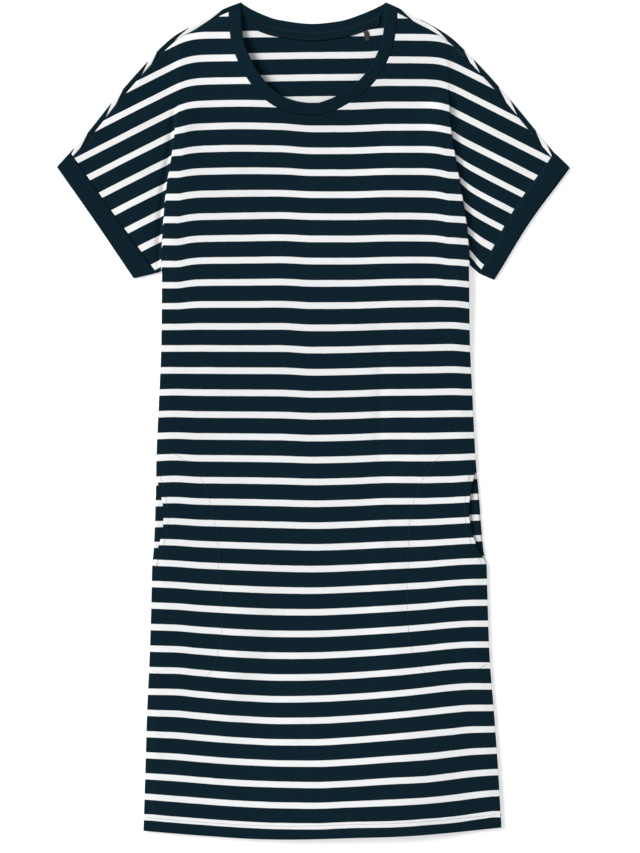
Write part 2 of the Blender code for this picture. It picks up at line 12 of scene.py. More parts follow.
import bmesh
import bpy
import numpy as np
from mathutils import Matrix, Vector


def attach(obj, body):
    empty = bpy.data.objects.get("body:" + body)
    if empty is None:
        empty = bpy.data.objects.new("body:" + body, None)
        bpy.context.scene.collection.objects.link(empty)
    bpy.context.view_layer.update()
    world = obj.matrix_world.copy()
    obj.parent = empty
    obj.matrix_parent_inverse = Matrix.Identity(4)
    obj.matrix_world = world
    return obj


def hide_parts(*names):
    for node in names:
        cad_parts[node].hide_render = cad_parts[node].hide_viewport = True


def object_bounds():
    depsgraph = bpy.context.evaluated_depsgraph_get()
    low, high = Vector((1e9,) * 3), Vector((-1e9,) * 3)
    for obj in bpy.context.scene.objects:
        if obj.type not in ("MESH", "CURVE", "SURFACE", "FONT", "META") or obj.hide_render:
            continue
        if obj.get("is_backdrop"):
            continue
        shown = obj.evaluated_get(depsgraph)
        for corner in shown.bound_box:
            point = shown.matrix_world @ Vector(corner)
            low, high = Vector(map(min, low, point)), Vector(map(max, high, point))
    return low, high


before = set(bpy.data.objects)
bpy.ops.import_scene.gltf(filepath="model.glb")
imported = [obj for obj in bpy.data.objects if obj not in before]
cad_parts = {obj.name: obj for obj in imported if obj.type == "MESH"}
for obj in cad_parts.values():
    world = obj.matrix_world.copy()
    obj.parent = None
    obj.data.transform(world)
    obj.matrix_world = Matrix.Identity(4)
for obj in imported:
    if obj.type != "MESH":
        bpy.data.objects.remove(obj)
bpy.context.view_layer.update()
print("nodes:", ", ".join(sorted(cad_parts)))

# %% [markdown]
# ## The measures of the garment
#
# Lengths are millimetres until a mesh is made. `height` is measured up the garment from the
# lowest point of the hem, `out` from the middle line to either side, `across` from the middle
# line to the right, and `drop` down from the neck end of the shoulder. An outline could be
# traced by hand in Blender, but numbers are easier to share between the front, the back and
# the bands, which have to meet along the same lines. Each table is short, and a smooth curve
# is drawn through its rows.

# %% Cloth and outlines
MM = 0.001
LEFT, RIGHT = 0, 1
SIDES = (LEFT, RIGHT)
SIGN = (-1.0, 1.0)
SIDE_NAMES = ("left", "right")
LENGTH = 1000.0
WALL = 1.0
GAP = 0.3
LAYER = WALL + GAP
# A fold turns about its middle surface, and its outside is half a wall further out
TURN = LAYER / 2
FOLD_REACH = TURN + WALL / 2
HEM_TURNED = 15.0
SHOULDER_SEAM = 6.0
BAND_WIDTH = 15.0

# height, left out, right out: the edge of the body, hem to shoulder
BODY_EDGE = (
    (11, 203.0, 224.5), (75, 201.0, 221.2), (145, 199.0, 216.3), (225, 195.5, 210.2),
    (290, 193.5, 208.0), (328, 192.7, 206.9), (345, 191.0, 203.2), (410, 188.5, 197.9),
    (460, 187.5, 193.5), (525, 184.5, 190.3), (600, 181.5, 186.8), (690, 180.5, 185.5),
    (720, 179.3, 183.6), (770, 175.5, 176.6), (825, 167.0, 167.0), (855, 163.4, 162.8),
    (880, 160.0, 161.4), (960, 160.0, 158.0),
)
# across, height: the folded edge of the hem
HEM_LINE = (
    (-203.0, 10.3), (-136.0, 5.0), (-64.0, 0.9), (-32.0, 0.5), (5.0, 1.2), (40.0, 2.5),
    (99.0, 4.3), (160.0, 8.2), (224.5, 14.2),
)
# out, left drop, right drop: shoulder and upper arm, from the neck to the cuff's free edge
SHOULDER = (
    (84.5, -1.4, -1.4), (100.0, 4.2, 5.2), (125.0, 15.7, 18.4), (145.0, 27.5, 28.8),
    (165.0, 38.8, 42.0), (185.0, 56.0, 61.0), (206.0, 78.6, 82.8), (240.0, 117.6, 121.4),
    (268.0, 152.8, 155.4), (290.0, 177.8, 181.6), (306.8, 196.0, 197.5),
)
# across, drop: the seam of the neckband on the front, and on the back
FRONT_NECK = (
    (-99.9, -8.0), (-101.4, 10.0), (-99.0, 43.0), (-89.5, 72.0), (-74.0, 98.5),
    (-56.0, 118.0), (-35.5, 129.5), (-15.0, 134.5), (2.0, 135.8), (23.0, 130.5),
    (45.0, 119.0), (65.5, 103.5), (84.0, 79.0), (97.0, 45.0), (100.7, 11.0), (100.0, -8.0),
)
BACK_NECK = (
    (-108.0, 2.0), (-101.0, 7.0), (-92.5, 14.0), (-71.5, 25.5), (-45.0, 34.8), (-1.0, 40.0),
    (34.0, 36.5), (61.5, 28.0), (92.0, 14.0), (100.4, 8.0), (108.0, 2.0),
)
print("garment:", LENGTH, "mm from neck to hem, sheets", WALL, "mm thick")

# %% [markdown]
# ## Curves
#
# A pattern cutter joins a few marks with a smooth curve. `through` does that with a cubic that
# never swings past its marks. A Bézier curve object would draw the same line, but here the
# line is asked for points at any place, so plain functions suit better.

# %% Curves through marks
SAMPLES = 400
EDGE_STEP = 0.6


def ease(t):
    """Smooth step: 3t² - 2t³ between 0 and 1, level outside."""
    t = np.clip(t, 0.0, 1.0)
    return t * t * (3.0 - 2.0 * t)


def through(x, y, at):
    """Cubic through marks x, y, read at `at`; each mark's slope is the harmonic mean beside it."""
    x = np.asarray(x, float)
    y = np.asarray(y, float)
    step = np.diff(x)
    slope = np.diff(y) / step
    tangent = np.zeros_like(y)
    tangent[[0, -1]] = slope[[0, -1]]
    same = slope[:-1] * slope[1:] > 0
    harmonic = 2.0 * slope[:-1] * slope[1:] / np.where(same, slope[:-1] + slope[1:], 1.0)
    tangent[1:-1] = np.where(same, harmonic, 0.0)
    at = np.clip(np.asarray(at, float), x[0], x[-1])
    i = np.clip(np.searchsorted(x, at) - 1, 0, len(step) - 1)
    t = (at - x[i]) / step[i]
    return (y[i] * (1 + 2 * t) * (1 - t) ** 2 + y[i + 1] * t * t * (3 - 2 * t)
            + step[i] * (tangent[i] * t * (1 - t) ** 2 - tangent[i + 1] * t * t * (1 - t)))


def column(table, place):
    """One column of a table, by its place in the row."""
    return [row[place] for row in table]


def read(table, place, at):
    """Smooth curve through one column of a table, against its first column."""
    return through(column(table, 0), column(table, place), at)


def run_of(points):
    """Distance travelled along a polyline, or down each column of a grid."""
    steps = np.linalg.norm(np.diff(points, axis=0), axis=-1)
    return np.concatenate([np.zeros_like(steps[:1]), np.cumsum(steps, axis=0)])


def along(points, fractions):
    """Points at the given fractions of a polyline's length."""
    run = run_of(points)
    place = np.asarray(fractions) * run[-1]
    return np.stack([np.interp(place, run, points[:, k]) for k in range(points.shape[1])], axis=1)


def straight(start, end, fractions):
    """Points at the given fractions of a straight line."""
    return along(np.stack([start, end]), fractions)


def crowded(count, length, both=False):
    """Even shares, but the first step (and the last) is only EDGE_STEP long."""
    shares = np.linspace(0, 1, count)
    shares[1] = EDGE_STEP / length
    if both:
        shares[-2] = 1 - EDGE_STEP / length
    return shares


print("a curve through three marks, read halfway:", through((0, 1, 2), (0, 1, 1.5), 0.5))

# %% [markdown]
# ## Lines and patches
#
# A drawn line is kept as a dense row of points, which can be moved sideways as a seam allowance
# is. `patch` fills the space between four such lines, as a Coons patch: the two pairs of sides
# are blended, and the corners, which are then counted twice, are taken off once. Blender's own
# Grid Fill does something close, but it can't be asked for a point halfway, and here the
# stripes and the creases need exactly that.


# %% Lines and patches
def smooth_line(table):
    """Dense smooth line through a table of points, by distance travelled."""
    points = np.array(table, float)
    run = run_of(points)
    place = np.linspace(0.0, run[-1], SAMPLES)
    return np.stack([through(run, points[:, k], place) for k in range(2)], axis=1)


def left_of(line):
    """Unit normals to the left of a line: its direction turned by a right angle."""
    way = np.gradient(line, axis=0)
    way /= np.linalg.norm(way, axis=1)[:, None]
    return np.stack([-way[:, 1], way[:, 0]], axis=1)


def offset(line, distance):
    """A line moved to its left: point + distance × unit normal."""
    return line + distance * left_of(line)


def patch(left, right, top, bottom):
    """Coons patch: across blend + down blend - corner blend, shares taken from side lengths."""
    def share(first, second):
        """Share of the way at each point: the mean of both sides' run / length."""
        runs = [run_of(side[:, :2]) for side in (first, second)]
        return sum(run / max(run[-1], 1e-9) for run in runs) / 2
    v = share(left, right)[:, None, None]
    u = share(top, bottom)[None, :, None]
    across = (1 - u) * left[:, None] + u * right[:, None]
    down = (1 - v) * top[None] + v * bottom[None]
    corners = ((1 - v) * ((1 - u) * top[0] + u * top[-1])
               + v * ((1 - u) * bottom[0] + u * bottom[-1]))
    return across + down - corners


def with_height(points, height):
    """Plan points with a height for each."""
    height = np.broadcast_to(height, points.shape[:-1])
    return np.concatenate([points[..., :2], height[..., None]], axis=-1)


square = np.array([[[0.0, 0.0], [0.0, 1.0]], [[1.0, 0.0], [1.0, 1.0]]])
corners = patch(*square, *square.swapaxes(0, 1)).reshape(-1, 2)
print("a patch of a unit square has the corners", corners.tolist())

# %% [markdown]
# ## Lines of the garment
#
# Every piece starts from the same few lines: the body's edge, the hem, the shoulders, the
# pocket mouths and the neckline. On the real pattern they are drawn once, and each piece is cut
# a seam's width inside or outside of them. These functions do the same, so pieces that are sewn
# together can't drift apart.

# %% Lines of the garment
# top height, bottom height, depth: the pocket mouths, cut back from the body's edge
MOUTH = ((433.0, 331.0, 10.3), (444.5, 329.0, 13.4))


def on_side(side, out, height):
    """Points at distances out from the middle line, on one side of it."""
    return np.stack([SIGN[side] * out, height], axis=1)


def body_edge(side, height):
    """Distance from the middle line to the body's edge."""
    return read(BODY_EDGE, 1 + side, height)


def inland(side, points):
    """Distance in from the body's edge."""
    return body_edge(side, points[..., 1]) - SIGN[side] * points[..., 0]


def hem_height(across):
    """Height of the hem's folded edge."""
    return read(HEM_LINE, 1, across)


def mouth_inset(side, height):
    """How far the front's edge is drawn in at the pocket mouth: depth × sin πt down the mouth."""
    top, bottom, depth = MOUTH[side]
    t = np.clip((top - height) / (top - bottom), 0.0, 1.0)
    return depth * np.sin(math.pi * t)


def no_inset(side, height):
    """An edge that follows the body's edge."""
    return 0.0 * height


halfway = sum(float(body_edge(side, LENGTH / 2)) for side in SIDES)
print("halfway down, the body is", round(halfway), "mm wide")

# %% [markdown]
# ### Shoulders and neckline
#
# The shoulder and the upper arm are one line, from the neck to the cuff. The neckline is a
# curve that runs on past the shoulders, and it is cut off where it meets their lines, as
# scissors would do. `meet` finds that place between two points of the curve.


# %% Shoulders and neckline
def shoulder_line(side, inset):
    """Shoulder and upper arm from the neck to the cuff's edge, moved in by an inset."""
    out = np.linspace(SHOULDER[0][0], SHOULDER[-1][0], SAMPLES)
    line = on_side(side, out, LENGTH - read(SHOULDER, 1 + side, out))
    return offset(line, -SIGN[side] * inset)


def top_of(line, out):
    """Height of a shoulder line at distances from the middle."""
    return np.interp(out, np.abs(line[:, 0]), line[:, 1])


def meet(line, room):
    """Stretch of a line where `room` is above 0, ended where it passes 0."""
    inside = np.flatnonzero(room > 0)
    first, last = inside[0], inside[-1]
    kept = [line[first:last + 1]]
    if first > 0:
        share = room[first] / (room[first] - room[first - 1])
        kept.insert(0, (line[first] + share * (line[first - 1] - line[first]))[None])
    if last < len(line) - 1:
        share = room[last] / (room[last] - room[last + 1])
        kept.append((line[last] + share * (line[last + 1] - line[last]))[None])
    return np.concatenate(kept)


def neck_line(table, inset, shoulder_inset):
    """Neckband seam from left to right, moved inwards, between lines along the shoulders."""
    line = smooth_line(table)
    line[:, 1] = LENGTH - line[:, 1]
    line = offset(line, inset)
    ceiling = np.zeros(len(line))
    for side in SIDES:
        height = top_of(shoulder_line(side, shoulder_inset), np.abs(line[:, 0]))
        ceiling = np.where(line[:, 0] * SIGN[side] >= 0, height, ceiling)
    return meet(line, ceiling - line[:, 1])


NEAREST = 1.0


def back_neck_line(inset):
    """Back seam of the neckband, which starts and ends where the front's does."""
    line = neck_line(BACK_NECK, inset, FOLD_REACH)
    first, last = neck_line(FRONT_NECK, inset, FOLD_REACH)[[0, -1]]
    between = line[(line[:, 0] > first[0] + NEAREST) & (line[:, 0] < last[0] - NEAREST)]
    return np.concatenate([first[None], between, last[None]])


free_edge = neck_line(FRONT_NECK, BAND_WIDTH, FOLD_REACH)
print("neckband's free edge:", round(run_of(free_edge)[-1]), "mm long on the front")

# %% [markdown]
# ## How high the cloth lies
#
# The back lies on the surface. The front lies on the back, and rises over whatever is between
# them: the pocket bags, the turned hem, and the tuck that each underarm makes when a sleeve is
# drawn down. The tuck starts at nothing below the shoulder and gets deeper down to the
# underarm. A cloth simulation would let gravity find these heights. Here they are a sum, one
# lift for each thing that is underneath, and each lift dies away slowly past its edge.

# %% Layers and tucks
LIFTED = 14.0
TUCK_START = (885.0, 898.0)
UNDERARM = (679.0, 686.0)
TUCK_DEPTH = 46.0
TUCK_FOLDED = 19.0
TUCK_FLAT = 17.0
TUCK_FADES = 34.0


def lifted(past, comes_down):
    """Share of its lift that cloth keeps past the edge of what lifts it: 1 - ease."""
    return 1.0 - ease((past - LIFTED) / comes_down)


def tuck_turn(side, height):
    """How far the tuck's folds have turned: π × ease of the distance below its start."""
    return math.pi * ease((TUCK_START[side] - height) / TUCK_FOLDED)


def tuck_depth(side, height):
    """How far in the tuck reaches from the body's edge, growing evenly down to the underarm."""
    long_way = TUCK_START[side] - UNDERARM[side] - TUCK_FLAT
    below = TUCK_START[side] - height - TUCK_FLAT
    return TUCK_DEPTH * np.clip(below / long_way, 0.0, 1.0)


def tuck_rise(side, height, fades=TUCK_FADES):
    """Height that one pair of folds adds: two half turns, fading out below the underarm."""
    turn = tuck_turn(side, height)
    ending = 1.0 - ease((UNDERARM[side] - height) / fades)
    return (2 * TURN * (1 - np.cos(turn)) + tuck_depth(side, height) * np.sin(turn)) * ending


print("the left tuck is", float(tuck_depth(LEFT, UNDERARM[LEFT])), "mm deep at the underarm")

# %% [markdown]
# ### The sum of the lifts
#
# The front lies on the back, plus one lift for each thing that is underneath. Past the edge of
# a thing, its lift is kept for 14 mm and then comes down slowly, as cloth does that isn't
# pressed. A pocket bag lifts the front by one layer inside of its outline, and the turned hems
# of front and back lift it by two.

# %% The sum of the lifts
TUCK_COMES_DOWN = 260.0
HEM_COMES_DOWN = 150.0
FRONT_RISES = 80.0
FRONT_RISES_INLAND = 0.8
FRONT_EASES_IN = 35.0
FRONT_FADES = 200.0
# height, left inset, right inset: the stitching round the pocket bags, from the body's edge
POCKET_STITCH = (
    (463, 18.0, 36.0), (452, 35.0, 49.0), (434, 52.0, 63.0), (407, 64.0, 77.0),
    (380, 71.0, 85.0), (352, 76.5, 89.0), (325, 79.5, 94.0), (270, 85.0, 96.0),
    (245, 85.0, 95.5), (227, 82.0, 92.0), (203, 76.0, 81.0), (193, 66.0, 70.0),
)
POCKET_ALLOWANCE = 5.0
BAG_COMES_DOWN = 80.0
POCKET_TOP = 465.0
POCKET_SAG = 12.0


def front_layers(points):
    """Middle surface of the front over tucks, pocket bags and turned hem: sum of lifts."""
    x, y = points[..., 0], points[..., 1]
    rise = 2 * LAYER * lifted(y - hem_height(x) - HEM_TURNED, HEM_COMES_DOWN)
    foot = POCKET_STITCH[-1][0] - POCKET_SAG
    for side in SIDES:
        room = inland(side, points)
        below = TUCK_START[side] - y
        beside = lifted(room - tuck_depth(side, y), TUCK_COMES_DOWN)
        inner = ease(room / FRONT_EASES_IN)
        slow = ease(below / (FRONT_RISES + FRONT_RISES_INLAND * np.clip(room, 0.0, None)))
        quick = ease(below / TUCK_FOLDED)
        gently = 1.0 - inner + inner * slow / np.maximum(quick, slow + 1e-6)
        rise = rise + 2 * tuck_rise(side, y, FRONT_FADES) * beside * gently
        inset = read(POCKET_STITCH[::-1], 1 + side, y) + POCKET_ALLOWANCE
        over_bag = lifted(room - inset, BAG_COMES_DOWN / 2)
        over_bag = over_bag * lifted(y - POCKET_TOP, BAG_COMES_DOWN)
        rise = rise + LAYER * over_bag * lifted(foot - y, BAG_COMES_DOWN)
    return WALL / 2 + LAYER + rise


middle = front_layers(np.array([[0.0, 500.0], [-180.0, 700.0]]))
print("front at the middle and at the left underarm:", np.round(middle, 1), "mm up")

# %% [markdown]
# ### Creases
#
# A sculptor's brush would give soft creases, and so would cloth simulation, but a crease is
# only a line with a width and a height, so a table says where each one runs. Across the line
# its height falls off like a bell, and towards both ends it fades. Everything dies away near a
# seam, because a seam holds the layers together. On the whole the creases lift the cloth, so
# the front stays clear of the back.

# %% Soft creases
# across, height at one end, across, height at the other, width, lift
FRONT_CREASES = (
    (70, 655, 87, 410, 6, -1.3),
    (86, 450, 99, 225, 7, -1.6),
    (90, 395, 98, 250, 8, 0.9),
    (121, 775, 140, 585, 7, -0.7),
    (116, 470, 110, 190, 8, -0.6),
    (-168, 668, -70, 560, 16, 0.6),
    (-160, 640, -92, 470, 12, 0.6),
    (172, 672, 84, 566, 15, 0.8),
    (-120, 850, -60, 730, 16, 0.8),
    (122, 862, 66, 742, 15, 0.8),
    (-38, 820, -30, 640, 18, 0.5),
    (-96, 330, -112, 40, 17, 0.7),
    (-20, 280, -34, 30, 19, 0.5),
    (-160, 470, -60, 430, 12, 0.5),
    (-175, 190, -60, 150, 15, 0.5),
    (190, 205, 60, 168, 15, 0.4),
)
# The same for creases that go through the whole garment, so the back's underside shows them
GROUND_CREASES = (
    (-150, 660, -40, 590, 18, 0.9),
    (155, 668, 30, 600, 17, 1.0),
    (-60, 420, -90, 90, 20, 1.1),
    (70, 400, 110, 70, 21, 1.1),
    (0, 840, 10, 620, 24, 0.7),
    (-120, 300, 90, 260, 18, 0.6),
)
CREASE_BOW = 0.02
CREASE_BOWS = 1.7
SEAM_HOLD = 11.0
HEM_HOLDS_OVER = 4 * SEAM_HOLD
HEM_LETS_BE = 0.5


def ridges(points, table):
    """Sum of lift × exp(-(distance across / width)²) × sin(π × share along)."""
    total = np.zeros(points.shape[:-1])
    for x0, y0, x1, y1, width, lift in table:
        start = np.array([x0, y0], float)
        way = np.array([x1, y1], float) - start
        long = np.linalg.norm(way)
        rel = points[..., :2] - start
        share = np.clip(rel @ way / long ** 2, 0.0, 1.0)
        bend = CREASE_BOW * long * np.sin(math.pi * CREASE_BOWS * share)
        across = (rel[..., 1] * way[0] - rel[..., 0] * way[1]) / long - bend
        past = rel @ way / long - share * long
        total += lift * np.exp(-(across ** 2 + past ** 2) / width ** 2) * np.sin(math.pi * share)
    return total


def seam_hold(points):
    """0 at the side and shoulder seams, less than 1 near the hem, and 1 well inside."""
    x, y = points[..., 0], points[..., 1]
    hold = ease((y - hem_height(x)) / HEM_HOLDS_OVER) * (1 - HEM_LETS_BE) + HEM_LETS_BE
    for side in SIDES:
        under = top_of(shoulder_line(side, SHOULDER_SEAM), np.abs(x)) - y
        closed = ease((TUCK_START[side] - y) / (2 * TUCK_FOLDED))
        room = 1.0 - closed * (1.0 - ease(inland(side, points) / SEAM_HOLD))
        here = SIGN[side] * x >= 0
        hold = np.where(here, hold * ease(under / SEAM_HOLD), hold)
        hold = np.where(here, hold * room, hold)
    return hold


def ground_lift(points):
    """Creases that lift every layer."""
    return ridges(points, GROUND_CREASES) * seam_hold(points)


probe = np.stack(np.meshgrid(np.linspace(-150, 150, 31), np.linspace(40, 840, 81)), axis=-1)
print("creases lift every layer by up to", round(float(ground_lift(probe).max()), 1), "mm")

# %% [markdown]
# ### What the front does by itself
#
# The neckline is an edge that stands up by itself: its band is stretched a little when it is
# sewn on, so it curls off the back. The lower right corner was laid down last and still stands
# in a broad wave. Calm cloth is never quite level either, so a slow ripple runs over all of
# it, the mouths gape a little, and the edges over the tucks are rounded, not pressed.

# %% The front's own lift
NECK_STANDS = (9.6, 4.2)
NECK_STANDS_AT = (0.25, 0.8)
NECK_SHOULDERS = 0.75
NECK_REACH = 34.0
NECK_CURL = 1.25
CALM_LIFT = 1.3
# swing of the ripple, its lengths over 2π across and down, and how it wanders
RIPPLE = 0.7
RIPPLE_ACROSS, RIPPLE_DOWN, RIPPLE_DRIFT = 31.0, 117.0, 83.0
RIPPLE_WANDERS, RIPPLE_STARTS = 1.7, 0.8
# across: where the wave starts to rise and over how much, where it falls and over how much
CORNER_WAVE = (-200.0, 300.0, 104.0, 110.0)
CORNER_LIFT = 9.0
CORNER_WAVE_TOP = 300.0
MOUTH_GAPES = 0.5
MOUTH_REACH = 22.0
EDGE_ROLL = 0.8
EDGE_ROLL_REACH = 30.0
# below the tuck's start, above the underarm, and over how much
EDGE_ROLL_FROM, EDGE_ROLL_TO, EDGE_ROLL_RUN = 20.0, 5.0, 40.0


def neck_stand(points):
    """Lift round the neckline: amount × exp(-(distance / reach)^1.25), none at the shoulders."""
    edge = free_edge[::4]
    flat_points = points[..., :2].reshape(-1, 2)
    apart = np.linalg.norm(flat_points[:, None] - edge[None], axis=2)
    share = apart.argmin(axis=1) / (len(edge) - 1)
    amount = np.interp(share, NECK_STANDS_AT, NECK_STANDS)
    amount = amount * ease(np.sin(math.pi * share) / NECK_SHOULDERS)
    lift = amount * np.exp(-(apart.min(axis=1) / NECK_REACH) ** NECK_CURL)
    return lift.reshape(points.shape[:-1])


def front_lift(points):
    """Creases, curling neckline, gaping pocket mouths and rolled edges over the tucks."""
    x, y = points[..., 0], points[..., 1]
    wander = RIPPLE_WANDERS * np.sin(y / RIPPLE_DRIFT)
    ripple = np.sin(x / RIPPLE_ACROSS + wander) * np.sin(y / RIPPLE_DOWN + RIPPLE_STARTS)
    ripple = 0.5 * (1 + ripple)
    rises, rise_run, falls, fall_run = CORNER_WAVE
    corner = ease((x - rises) / rise_run) * (1 - ease((x - falls) / fall_run))
    corner = CORNER_LIFT * corner * ease((CORNER_WAVE_TOP - y) / CORNER_WAVE_TOP)
    own = (ridges(points, FRONT_CREASES) + RIPPLE * ripple + CALM_LIFT) * seam_hold(points)
    lift = np.maximum(own, 0.0) + corner + ground_lift(points) + neck_stand(points)
    for side in SIDES:
        room = np.clip(inland(side, points), 0.0, None)
        gape = mouth_inset(side, y) / MOUTH[side][2]
        lift = lift + MOUTH_GAPES * gape * np.exp(-room / MOUTH_REACH)
        beside = ease((TUCK_START[side] - EDGE_ROLL_FROM - y) / EDGE_ROLL_RUN)
        beside = beside * ease((y - UNDERARM[side] - EDGE_ROLL_TO) / EDGE_ROLL_RUN)
        lift = lift + EDGE_ROLL * beside * np.exp(-(room / EDGE_ROLL_REACH) ** 2)
    return lift


def front_height(points):
    """Middle surface of the front: layers under it plus its own lift."""
    return front_layers(points) + front_lift(points)


print("all of it lifts the front by up to", round(float(front_lift(probe).max()), 1), "mm")

# %% [markdown]
# ## Where the stripes run
#
# The stripes are knitted into the cloth, so they follow the cloth and not the room. On the body
# they run nearly level, and towards the hem they sag like a smile, because the front was
# smoothed downwards in the middle. On a sleeve they turn with it. A texture could be painted,
# but then each stripe would stop being a stripe of the same cloth. Instead every point gets
# two numbers in a UV map named `cloth`: how far across the cloth it is, and the number of the
# white stripe at its height, with fractions between stripes. The material does the rest.

# %% Stripes of the body
REPEAT = 26.3
# height on the middle line, number of the white stripe there
STRIPE_NUMBERS = (
    (-34.5, 34), (16.9, 32), (65.9, 30), (116.6, 28), (168.2, 26), (219.8, 24), (271.5, 22),
    (323.1, 20), (375.0, 18), (427.2, 16), (479.5, 14), (531.8, 12), (584.6, 10), (637.6, 8),
    (690.7, 6), (743.8, 4), (796.4, 2), (848.7, 0), (901.0, -2), (953.9, -4), (1060.0, -8),
)
# across, for the columns of STRIPE_BOW
BOW_ACROSS = (-196, -166, -136, -88, -40, 0, 43, 91, 133, 165, 189, 213)
# height on the middle line, then how much higher the stripe runs at each place across
STRIPE_BOW = (
    (18, 10.0, 7.3, 5.1, 1.9, 0.1, 0, 1.8, 2.7, 5.1, 7.3, 10.3, 13.6),
    (67, 9.7, 7.8, 5.3, 2.0, 0.5, 0, 1.7, 4.9, 6.8, 10.3, 13.0, 14.7),
    (117, 9.2, 8.0, 5.4, 1.9, -0.1, 0, 2.2, 6.1, 9.9, 12.7, 14.9, 15.2),
    (170, 8.4, 8.1, 5.3, 1.4, -0.6, 0, 2.0, 5.6, 9.9, 13.6, 15.0, 14.6),
    (324, 8.0, 6.6, 4.5, 2.4, 0.7, 0, 1.3, 3.7, 5.6, 8.0, 9.3, 9.8),
    (429, 2.2, 3.6, 2.1, 1.7, 1.0, 0, 0.8, 2.6, 2.3, 2.9, 4.4, 5.4),
    (586, 2.1, 2.0, 2.1, 1.9, 1.9, 0, 0.6, 2.1, 2.7, 3.3, 1.6, 1.6),
    (638, 0.8, 0.6, 1.4, 1.4, 1.7, 0, 0.2, 1.6, 2.4, 3.2, 1.0, 1.0),
    (745, 0.5, 0.2, 0.0, 0.7, 1.4, 0, -0.2, 0.7, 0.4, -0.7, -1.8, -1.8),
    (850, 3.8, 3.8, 3.0, 3.8, 2.7, 0, 0.2, 1.9, 2.0, 1.5, 1.0, 1.0),
    (955, 7.0, 7.0, 7.0, 6.5, 4.0, 2, 2.5, 4.5, 4.5, 4.5, 4.5, 4.5),
)


def stripe_number(level):
    """Number of the white stripe at a height on the middle line, with fractions."""
    return np.interp(level, column(STRIPE_NUMBERS, 0), column(STRIPE_NUMBERS, 1))


def stripe_bow(x, level):
    """Height a stripe gains at x: cubic across each row of the table, even between rows."""
    rows = np.array([through(BOW_ACROSS, row[1:], x) for row in STRIPE_BOW])
    place = np.interp(level, column(STRIPE_BOW, 0), np.arange(len(STRIPE_BOW)))
    low = np.clip(place.astype(int), 0, len(STRIPE_BOW) - 2)
    part = place - low
    lower, upper = (np.take_along_axis(rows, low[None] + step, 0)[0] for step in (0, 1))
    return lower * (1 - part) + upper * part


print("stripes on the middle line:", int(stripe_number(0.0) - stripe_number(864.0)))

# %% [markdown]
# ### Stripes on the sleeves
#
# A sleeve cut in one with the body hangs from the shoulder, so its stripes bend down where the
# arm begins, softly at the shoulder and more sharply at the tuck. Next to the folds they also
# spread and close a little, as the photo shows, and the few numbers for that were fitted.

# %% Stripes of a sleeve
SLEEVE_FALL = 0.505
SLEEVE_BEND = (149.0, 155.7)
BEND_SOFTNESS = 7.2
# below this level a sleeve's stripes lie further apart, from this distance out on
SPREAD_FROM = 902.8
SPREAD_OUT, SPREAD_OUT_RUN = 150.0, 30.0
# left sleeve: growth with the square of the repeats below, and its limit
LEFT_SPREAD, LEFT_SPREAD_MOST = 0.25, 15.0
# right sleeve: spread and its run, then the slope with which it closes again and from where
RIGHT_SPREAD, RIGHT_SPREAD_RUN = 4.4, 79.0
RIGHT_CLOSES, RIGHT_CLOSES_FROM = 0.02, 80.0
# amount, from how far below, over how much, from how far out, over how much
RIGHT_TURNS_DOWN = (7.5, 140.0, 50.0, 184.0, 20.0)
RIGHT_BY_FOLD = (9.0, 50.0, 80.0, 172.0, 12.0)


def bend_fall(side, out):
    """Fall past the bend of the sleeve: slope × softness × ln(1 + e^(distance / softness))."""
    past = (out - SLEEVE_BEND[side]) / BEND_SOFTNESS
    return SLEEVE_FALL * BEND_SOFTNESS * np.logaddexp(0.0, past)


def sleeve_spread(side, out, level):
    """Extra fall where the sleeve's stripes lie further apart than the body's."""
    below = np.clip(SPREAD_FROM - level, 0.0, None)
    if side == LEFT:
        return np.clip(LEFT_SPREAD * (below / REPEAT) ** 2, 0.0, LEFT_SPREAD_MOST)
    spread = RIGHT_SPREAD * ease(below / RIGHT_SPREAD_RUN)
    spread = spread - RIGHT_CLOSES * np.clip(below - RIGHT_CLOSES_FROM, 0.0, None)
    amount, start, run, start_out, out_run = RIGHT_TURNS_DOWN
    turned_down = amount * ease((below - start) / run) * ease((out - start_out) / out_run)
    amount, start, run, start_out, reach = RIGHT_BY_FOLD
    near_fold = np.exp(-np.clip(out - start_out, 0.0, None) / reach)
    return spread + turned_down - amount * ease((below - start) / run) * near_fold


print("past the bend a sleeve's stripe falls", SLEEVE_FALL, "mm for each mm out")

# %% [markdown]
# ### From a point to its stripe
#
# The tables say where a given stripe runs, but a mesh asks which stripe runs through a given
# point. So the point's height is taken as a first answer, and the answer is put back in a few
# times until it settles. On the body beside a tuck the stripes keep some of the sleeve's fall,
# because shoulder and sleeve are one piece of cloth there, and lose it on the way down.

# %% From a point to its stripe
SETTLES = 8
# where body and sleeve part, and how the body's stripes keep some of the sleeve's fall
STRIPES_PART = (879.5, 893.0)
STRIPES_PART_RUN = 40.0
BODY_DROOP_OUT = 160.0
DROOP_EASES = (40.0, 90.0)
DROOP_EASES_RUN = 60.0
DROOP_LOST = 0.35
DROOP_ENDS, DROOP_ENDS_RUN = 700.0, 100.0


def stripe_fall(side, out, y, level, part):
    """Fall of a stripe on one side: on the sleeve, or on the body beside it."""
    free = bend_fall(side, out)
    if part == "sleeve":
        spreading = ease((out - SPREAD_OUT) / SPREAD_OUT_RUN)
        return free + sleeve_spread(side, out, level) * spreading
    held = ease((STRIPES_PART[side] - y) / STRIPES_PART_RUN)
    kept = bend_fall(side, np.minimum(out, BODY_DROOP_OUT))
    lost = ease((STRIPES_PART[side] - DROOP_EASES[side] - y) / DROOP_EASES_RUN)
    kept = kept * (1 - DROOP_LOST * lost)
    kept = kept * (1 - ease((DROOP_ENDS - y) / DROOP_ENDS_RUN))
    return free * (1 - held) + kept * held


